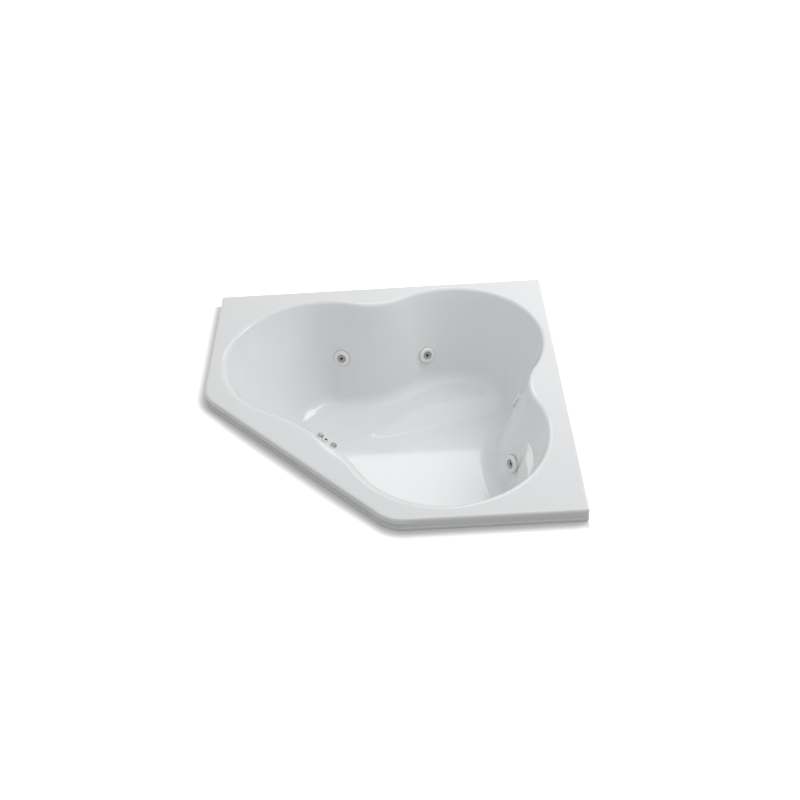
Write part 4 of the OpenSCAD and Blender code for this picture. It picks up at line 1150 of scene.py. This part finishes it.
class Pipes(bpy.types.Operator):
    """Makes the water pipes from jet to jet, the suction pipe, the air hoses and the switch tube"""
    bl_idname = "bathtub.pipes"
    bl_label = "Pipes and hoses"

    def execute(self, context):
        rim, depth, tee = sizes().rim_h/MM, sizes().basin_depth/MM, tee_frame()
        jets, rays, depths, back = JETS, JET_RAYS, JET_DEPTHS, BARREL_Z

        def out_of(i):
            return spigot(jets[i], 0, back, 28, 50)

        def into(j):
            return spigot(jets[j], 0, back, -50, -28)

        def along(i, j):
            return out_of(i) + between(rays[i], rays[j], depths[i], depths[j], back) + into(j)

        low = rim - TEE_Z
        to_tee = between(rays[5], TEE_RAY, depths[5], low, back, shares=(0.35, 0.6))
        from_tee = between(TEE_RAY, rays[0], low, depths[0], back, shares=(0.3, 0.5, 0.7))
        water = [out_of(5) + to_tee + spigot(tee, 0, 0, -50, -18),
                 spigot(tee, 0, 0, 18, 50) + from_tee + into(0),
                 along(0, 1), along(1, 2), out_of(2) + [behind(55.5, 252, back - 3)] + into(3), along(3, 4)]
        for i, c in enumerate(water, 1):
            tubes(f"jet_pipe_{i}", f"water_pipe_{i}", "pipe", [run(c)], WATER_PIPE_R, 32)
        turns = [PUMP[0] + Vector(v) for v in ((97, 12, -4), (27, 62, 0), (0, 130, 0), (0, 216, 0))]
        c = spigot(suction_frame(), 0, back, 30, 62)
        c += [behind(-157, depth - 90, -62), behind(-149, depth - 87, -66)] + turns
        tubes("intake_pipe", "suction_pipe", "pipe", [run(c, 9)], SUCTION_PIPE_R, 40)
        left, right = CONTROLS

        def air(i, j, *way):
            return spigot(jets[i], AIR_X, AIR_Z, 10, 26) + list(way) + spigot(jets[j], AIR_X, AIR_Z, -26, -10)

        def sagging(i, j, sag):
            return air(i, j, *between(rays[i], rays[j], depths[i] - 42, depths[j] - 42, AIR_Z - 6, sag))

        hoses = [[at(left, 0, 0, -34), at(left, 0, 0, -60), behind(-177, 80, -62), behind(-170, 120, -70),
                  behind(-160, 190, -52)] + spigot(jets[5], AIR_X, AIR_Z, -26, -10), sagging(5, 0, 45),
                 sagging(0, 1, 0)]
        tubes("air_hoses_left", "air_tubes_left", "hose", [run(c) for c in hoses], AIR_HOSE_R, 16)
        hoses = [[at(right, 0, 0, -34), at(right, 0, 0, -60), behind(168, 100, -66), behind(160, 180, -54)]
                 + spigot(jets[4], AIR_X, AIR_Z, 26, 10), sagging(3, 4, 10),
                 air(2, 3, behind(55.5, 212, AIR_Z - 6))]
        tubes("air_hoses_right", "air_tubes_right", "hose", [run(c) for c in hoses], AIR_HOSE_R, 16)
        button = control_frames()[2]
        c = [at(button, 0, 0, -30), at(button, 0, 0, -56), behind(-178, 66, -84)]
        c += [behind(p, 92, -58) for p in (-170, -161, -152, -143, -134, -125)] + [behind(-117, 120, -64)]
        c += [PUMP[0] + Vector((0, MOTOR_MIDDLE, z)) for z in (165, 119)]
        tubes("switch_hose", "switch_tube", "hose", [run(c)], SWITCH_HOSE_R, 16)
        return {"FINISHED"}


# Pump, under the rim at the left

MOTOR_R = 68
VOLUTE_R = 80
SEAL_SEAT_R = 68.2


class Pump(bpy.types.Operator):
    """Makes the pump's casings: volute, finned motor shell, fan cover, terminal box and cable gland"""
    bl_idname = "bathtub.pump"
    bl_label = "Pump"

    def execute(self, context):
        tee_at, top = tee_frame()[0], TEE_Z - 40
        casing = closed([(SEAL_SEAT_R, 300), (SEAL_SEAT_R, 256), (18, 256), (18, 228), (20, 226), (20, 200.2),
                         (26.8, 200.2), (26.8, 246), (68, 246), (VOLUTE_R, 256), (VOLUTE_R, 317.8),
                         (SEAL_SEAT_R, 317.8)], [0, 6, 1, 0.5, 0.5, 0.8, 0.8, 5, 4, 6, 1.2, 0.6])
        o = turned("pump_volute", "volute", "nylon", PUMP, (casing, {"n": 96, "ring": True}))
        neck = rounded([(0, PUMP[0].z), (22, PUMP[0].z), (22, top), (0, top)], [0.5, 1])
        port = upright(tee_at.x, tee_at.y)
        cut(o, [lathe(neck, port, 48)], "UNION")
        cut(o, [rod(SEAL_SEAT_R, 256.2, 330, PUMP, 96), rod(17, PUMP[0].z + 20, top + 9, port, 48)])
        shade(o)
        shell = closed([(60, 340), (60, 328.2), (MOTOR_R, 328.2), (MOTOR_R, 340), (65, 341.5), (65, 538.5),
                        (MOTOR_R, 540), (MOTOR_R, 552), (7.1, 552), (7.1, 544), (60, 544)],
                       [0, 0.8, 1.2, 1.2, 1, 1, 1.2, 1.2, 0.5, 1, 4])
        fins = copies("fins", "motor_shell", "enamel", prism(ORIGIN, 2.4, 1.5, 0, 197, 0.9),
                      [fin_frame(g + s) for g in range(-60, 61, 15) for s in (0, 180)])
        o = turned("motor_casing", "motor_shell", "enamel", PUMP, (shell, {"n": 96, "ring": True}))
        merge(o, fins)
        cover = rounded([(0, 602.4), (65, 598), (65, 552.2), (MOTOR_R, 552.2), (MOTOR_R, 600), (62, 606),
                         (0, 606)], [2, 0.6, 0.6, 3, 5])
        o = turned("fan_guard", "fan_cover", "enamel", PUMP, (cover, {"n": 96}))
        perforate(o, PUMP, [(17, 12, 0), (27, 18, 0), (37, 24, 0), (47, 30, 0)], 2.6, 30, 604, "enamel")
        base = upright(PUMP[0].x, PUMP[0].y + MOTOR_MIDDLE, PUMP[0].z)
        box = solid("terminal_housing", tidy(*prism(base, 44.9, 44.9, 40, 102, 5)))
        cut(box, [tidy(*prism(base, 44.2, 44.2, 103, 119.9, 5)), tidy(*prism(base, 43.6, 43.6, 101, 104, 4))],
            "UNION")
        cut(box, [rod(MOTOR_R + 0.2, 340, 560, PUMP, 96),
                  tidy(*prism(base, 40, 40, MOTOR_R + 6, MOTOR_R + 44, 3)),
                  rod(8.1, -20, 20, gland_frame()), rod(3.4, 90, 140, base, 24)]
            + [rod(2.6, 117, 130, moved(base, x, y), 24) for x in (-36, 36) for y in (-36, 36)])
        box.data.materials.clear()
        box.data.materials.append(MATERIALS["nylon"])
        shade(box)
        settle(box, BODY_OF["terminal_box"], SLOT_OF["terminal_box"], ["terminal_box"])
        stem = closed([(4.1, -8), (7.95, -8), (7.95, 0.1), (4.1, 0.1)], 0.3)
        hexagon = closed([(4.1, 0.1), (12.9, 0.1), (12.9, 7.9), (4.1, 7.9)], 0.5)
        dome = closed([(4.1, 7.9), (10, 7.9), (10, 18), (7.2, 22.8), (4.1, 22.8)], [0.3, 0.6, 2, 1, 0.4])
        turned("cord_gland", "cable_gland", "rubber", gland_frame(), (stem, {"n": 32, "ring": True}),
               (hexagon, {"n": 6, "ring": True}),
               (dome, {"n": 60, "ring": True, "ripple": scallops(20, 10, 0.5, 9)}))
        return {"FINISHED"}


def fin_frame(g):
    """A frame on the motor's side, its third axis along the shaft"""
    x, y = PUMP[1]*cosd(g) + PUMP[2]*sind(g), PUMP[2]*cosd(g) - PUMP[1]*sind(g)
    return PUMP[0] + x*(MOTOR_R - 2.45) + PUMP[3]*340.5, x, y, PUMP[3]


def gland_frame():
    place = PUMP[0] + Vector((-45, MOTOR_MIDDLE, 92))
    return place, Vector((0, 0, 1)), Vector((0, 1, 0)), Vector((-1, 0, 0))


def merge(o, other):
    """Adds one object's mesh to another's, and drops it"""
    bm = bmesh.new()
    bm.from_mesh(o.data)
    bm.from_mesh(other.data)
    bm.to_mesh(o.data)
    bm.free()
    bpy.data.objects.remove(other)


# Feet and screws under the tub, and the pieces whose CAD form stays

BOARD_T = 18
FINISH_OF = {"acrylic": "acrylic", "plywood": "plywood", "feet": "foot", "batten_wood": "batten",
             "body_plastic": "body", "seal_rubber": "rubber", "fitting_plastic": "fitting",
             "nozzle_metal": "nozzle", "screw_steel": "stainless", "pipe_plastic": "pipe",
             "union_plastic": "nylon", "air_vinyl": "hose", "control_metal": "chrome",
             "button_plastic": "button", "bracket_paint": "bracket", "seal_plate_plastic": "nylon",
             "motor_paint": "enamel", "copper_winding": "copper", "shaft_steel": "shaft",
             "fan_plastic": "nylon"}


class Supports(bpy.types.Operator):
    """Makes the feet and the pump's screws"""
    bl_idname = "bathtub.supports"
    bl_label = "Feet and screws"

    def execute(self, context):
        half, board_top = sizes().side/MM/2, (sizes().rim_h - sizes().basin_depth - sizes().shell_t)/MM
        top, x, y = board_top - BOARD_T, PUMP[0].x, PUMP[0].y
        from_wall = [(971, 761), (761, 971), (336, 966), (336, 336), (636, 636), (966, 336)]
        spots = [(half - a, half - b) for a, b in from_wall] + [(x - 65, y + 215), (x - 65, y + 605),
                                                                (x + 245, y + 605)]
        foot = rounded([(0, 0), (34, 0), (34, 5), (26, 9), (23, top), (0, top)], [1.2, 1.5, 3, 1.5])
        foot = lathe(foot, ORIGIN, 56, ripple=scallops(8, 26, 1.6, 8))
        copies("moulded_feet", "support_feet", "foot", foot, [upright(*m) for m in spots])
        shank = rounded([(0, -26), (3.5, -26), (4, -25), (4, 0.5), (0, 0.5)], [0.3, 0.3, 0.1])
        head = rounded([(0, 0), (7.5, 0), (7.5, 4.9), (6.4, 5.5), (0, 5.5)], [0.2, 0.5, 0.3], 2)
        spots = [(x + a, y + b, board_top + 12) for a in (-55, 55) for b in (360, 510)]
        screw = join([lathe(shank, ORIGIN, 28), lathe(head, ORIGIN, 6)])
        copies("hexagon_screws", "pump_screws", "stainless", screw, [upright(*m) for m in spots])
        return {"FINISHED"}


class KeptPieces(bpy.types.Operator):
    """Gives every piece whose CAD form stays its real finish"""
    bl_idname = "bathtub.kept_pieces"
    bl_label = "Finishes of the kept pieces"

    def execute(self, context):
        for node, o in frame["nodes"].items():
            if not o.hide_render:
                o.data.materials.clear()
                o.data.materials.append(MATERIALS[FINISH_OF[SLOT_OF[node]]])
        return {"FINISHED"}


# The stage

CAMERA_AZ = 0.0224
CAMERA_EL = 0.7039
CAMERA_ROLL = -0.0695
CAMERA_DIST = 3.9483
CAMERA_TARGET = (0.0677, -0.0698, 0.520)
CAMERA_LENS = 47.24


def make_camera():
    """The camera of the photograph: where it stands, and its slight roll"""
    ca, sa, ce, se = math.cos(CAMERA_AZ), math.sin(CAMERA_AZ), math.cos(CAMERA_EL), math.sin(CAMERA_EL)
    back = Vector((sa*ce, -ca*ce, se))
    right = (-back).cross(Vector((0, 0, 1))).normalized()
    up = right.cross(-back)
    cr, sr = math.cos(CAMERA_ROLL), math.sin(CAMERA_ROLL)
    x, y = right*cr + up*sr, up*cr - right*sr
    data = bpy.data.cameras.new("camera")
    data.sensor_width = 36
    data.sensor_fit = "HORIZONTAL"
    data.lens = CAMERA_LENS
    data.clip_end = 100
    o = bpy.data.objects.new("camera", data)
    bpy.context.scene.collection.objects.link(o)
    turn = Matrix((x, y, back)).transposed().to_4x4()
    o.matrix_world = Matrix.Translation(Vector(CAMERA_TARGET) + back*CAMERA_DIST) @ turn
    bpy.context.scene.camera = o


def area_lamp(name, place, target, size, power):
    """A rectangular lamp that looks at a target"""
    data = bpy.data.lights.new(name, "AREA")
    data.shape = "RECTANGLE"
    data.size, data.size_y = size
    data.energy = power
    o = bpy.data.objects.new(name, data)
    bpy.context.scene.collection.objects.link(o)
    aim = (Vector(target) - Vector(place)).to_track_quat("-Z", "Y")
    o.matrix_world = Matrix.Translation(Vector(place)) @ aim.to_matrix().to_4x4()


# Distances of the deck's rings from the rim, and where its glow dims beside the rim to paint a shadow band over
# the rendered shadow, in metres
DECK_RINGS = [0, 0.02, 0.04, 0.06, 0.09, 0.13, 0.3, 0.62]
DECK_PAINTED_SHADOW = 0.01, 0.085
FLOOR_SHADE = 0.0, 0.3
FLOOR_REACH = 9
# How far the deck lies below the rim's foot, and the place that its rings spread from
DECK_GAP = 0.0005
DECK_HUB = Vector((0.08, 0.08, 0))
# The ground's tone for the eye, and for the light that it sends back to the object
GROUND_SEEN = "#E6E6E6"
GROUND_TONE = "#8A8A8A"
# Light that the white room sends to the object, as a share of what the eye sees
ROOM_LIGHT = 0.58
# Place, target, size in metres and power in watts of each lamp
LAMPS = {"softbox": ((0.05, 2.8, 3.0), (0.05, 2.8001, 0), (1.14, 0.8), 8),
         "overhead_light": ((0.4, 0.4, 3.2), (0.4, 0.4001, 0), (2.6, 2.2), 9),
         "side_light": ((2.2, 1.0, 2.6), (0, 0, 0.5), (1.4, 1.4), 31)}


def seen_rays(t):
    """The light path's outputs, and 1 for rays that the eye follows: straight, mirrored or through glass"""
    path = add(t, "ShaderNodeLightPath").outputs
    seen = add(t, "ShaderNodeMath", {0: path["Is Camera Ray"], 1: path["Is Glossy Ray"]}, operation="MAXIMUM")
    seen = add(t, "ShaderNodeMath", {0: seen.outputs[0], 1: path["Is Transmission Ray"]}, operation="MAXIMUM")
    return path, seen.outputs[0]


def white_ground(name, shade_from, shade_to):
    """A ground that renders white and keeps the object's shadow; it glows for the eye, less where its points lie
    near the rim, and the missing glow paints a grey shadow band there over the rendered shadow
    """
    m = bpy.data.materials.new(name)
    m.use_nodes = True
    t = m.node_tree
    shader = t.nodes["Principled BSDF"]
    shader.inputs["Roughness"].default_value = 0.9
    path, seen = seen_rays(t)
    tones = add(t, "ShaderNodeMix", {"Factor": seen, "A": colour(GROUND_TONE), "B": colour(GROUND_SEEN)},
                data_type="RGBA")
    t.links.new(tones.outputs["Result"], shader.inputs["Base Color"])
    # Painted shadow: the glow dims by the points' distance from the rim
    away = add(t, "ShaderNodeAttribute", attribute_name="from_rim").outputs["Fac"]
    level = add(t, "ShaderNodeMapRange", {"Value": away, "From Min": shade_from, "From Max": shade_to},
                interpolation_type="SMOOTHSTEP")
    glow = add(t, "ShaderNodeMath", {0: seen, 1: level.outputs["Result"]}, operation="MULTIPLY")
    shader.inputs["Emission Color"].default_value = (1, 1, 1, 1)
    t.links.new(glow.outputs[0], shader.inputs["Emission Strength"])
    clear = add(t, "ShaderNodeBsdfTransparent")
    mix = add(t, "ShaderNodeMixShader", {0: path["Is Shadow Ray"], 1: shader.outputs[0], 2: clear.outputs[0]})
    t.links.new(mix.outputs[0], t.nodes["Material Output"].inputs["Surface"])
    return m


def ground_mesh(name, verts, faces, from_rim, material):
    """A flat piece of the stage whose points know how far they lie from the rim"""
    mesh = bpy.data.meshes.new(name)
    mesh.from_pydata(verts, [], faces)
    mesh.attributes.new("from_rim", "FLOAT", "POINT").data.foreach_set("value", from_rim)
    mesh.materials.append(material)
    o = bpy.data.objects.new(name, mesh)
    bpy.context.scene.collection.objects.link(o)


class Stage(bpy.types.Operator):
    """Makes the camera, the floor, the pale deck in front of the rim and the soft studio light"""
    bl_idname = "bathtub.stage"
    bl_label = "Camera, floor and light"

    def execute(self, context):
        make_camera()
        s = sizes()
        half, deck_z = s.side/2, s.rim_h - s.edge_h - DECK_GAP
        square = [(-1, -1), (1, -1), (1, 1), (-1, 1)]
        corners = [(x*k, y*k, 0) for k in (half, FLOOR_REACH) for x, y in square]
        sides = [(i, i + 4, (i + 1) % 4 + 4, (i + 1) % 4) for i in range(4)]
        ground_mesh("floor", corners, [(0, 1, 2, 3)] + sides, [1.0]*8,
                    white_ground("pale_floor", *FLOOR_SHADE))
        front = [rim_point(p, 6, deck_z/MM)*MM for p in range(0, 181, 2)]
        front += [mirror_plan(v) for v in reversed(front[1:-1])]
        hub = DECK_HUB
        rings = []
        for out in DECK_RINGS:
            for v in front:
                d = (v - hub).to_2d()
                k = 1 + out/max(abs(d.x), abs(d.y), -(d.x + d.y)/ROOT2)
                wall = max(v.x, v.y) > half - 0.007 and min(v.x, v.y) > 0.02 - half
                moved_out = Vector((min(hub.x + d.x*k, half), min(hub.y + d.y*k, half), deck_z))
                rings.append(v if wall else moved_out)
        n = len(front)
        faces = [(r*n + i, r*n + (i + 1) % n, (r + 1)*n + (i + 1) % n, (r + 1)*n + i)
                 for r in range(len(DECK_RINGS) - 1) for i in range(n)]
        # Only the rings on the front sides spread out; their distances from the rim dim the deck's glow there,
        # painting a shadow band beside the front edges
        ground_mesh("deck", [tuple(v) for v in rings], faces, [out for out in DECK_RINGS for v in front],
                    white_ground("pale_deck_painted_shadow", *DECK_PAINTED_SHADOW))
        for name, lamp in LAMPS.items():
            area_lamp(name, *lamp)
        world = bpy.data.worlds.new("studio")
        world.use_nodes = True
        context.scene.world = world
        t = world.node_tree
        back = t.nodes["Background"]
        back.inputs["Color"].default_value = (1, 1, 1, 1)
        level = add(t, "ShaderNodeMapRange", {"Value": seen_rays(t)[1], "To Min": ROOM_LIGHT, "To Max": 1.0})
        t.links.new(level.outputs["Result"], back.inputs["Strength"])
        context.scene.view_settings.view_transform = "Standard"
        return {"FINISHED"}


class BathtubPanel(bpy.types.Panel):
    """Lists the operators that make the bathtub"""
    bl_idname = "VIEW3D_PT_bathtub"
    bl_label = "Jetted corner bathtub"
    bl_space_type = "VIEW_3D"
    bl_region_type = "UI"
    bl_category = "Bathtub"

    def draw(self, context):
        for group in (context.scene.tub_sizes, context.scene.tub_colours):
            for name in group.__annotations__:
                self.layout.prop(group, name)
        for op in OPERATORS:
            self.layout.operator(op.bl_idname)


OPERATORS = [Stage, TubShell, Jets, WallFittings, Pipes, Pump, Supports, KeptPieces]
CLASSES = [TubSizes, TubColours] + OPERATORS + [BathtubPanel]


def register():
    for c in CLASSES:
        bpy.utils.register_class(c)
    bpy.types.Scene.tub_sizes = bpy.props.PointerProperty(type=TubSizes)
    bpy.types.Scene.tub_colours = bpy.props.PointerProperty(type=TubColours)


def unregister():
    del bpy.types.Scene.tub_sizes
    del bpy.types.Scene.tub_colours
    for c in reversed(CLASSES):
        bpy.utils.unregister_class(c)


def main():
    register()
    MATERIALS.update(make_materials())
    TREES.update({t.name: t for t in (tube_tree(), copies_tree(), perforate_tree())})
    for op in OPERATORS:
        group, name = op.bl_idname.split(".")
        getattr(getattr(bpy.ops, group), name)()


if __name__ == "__main__":
    main()
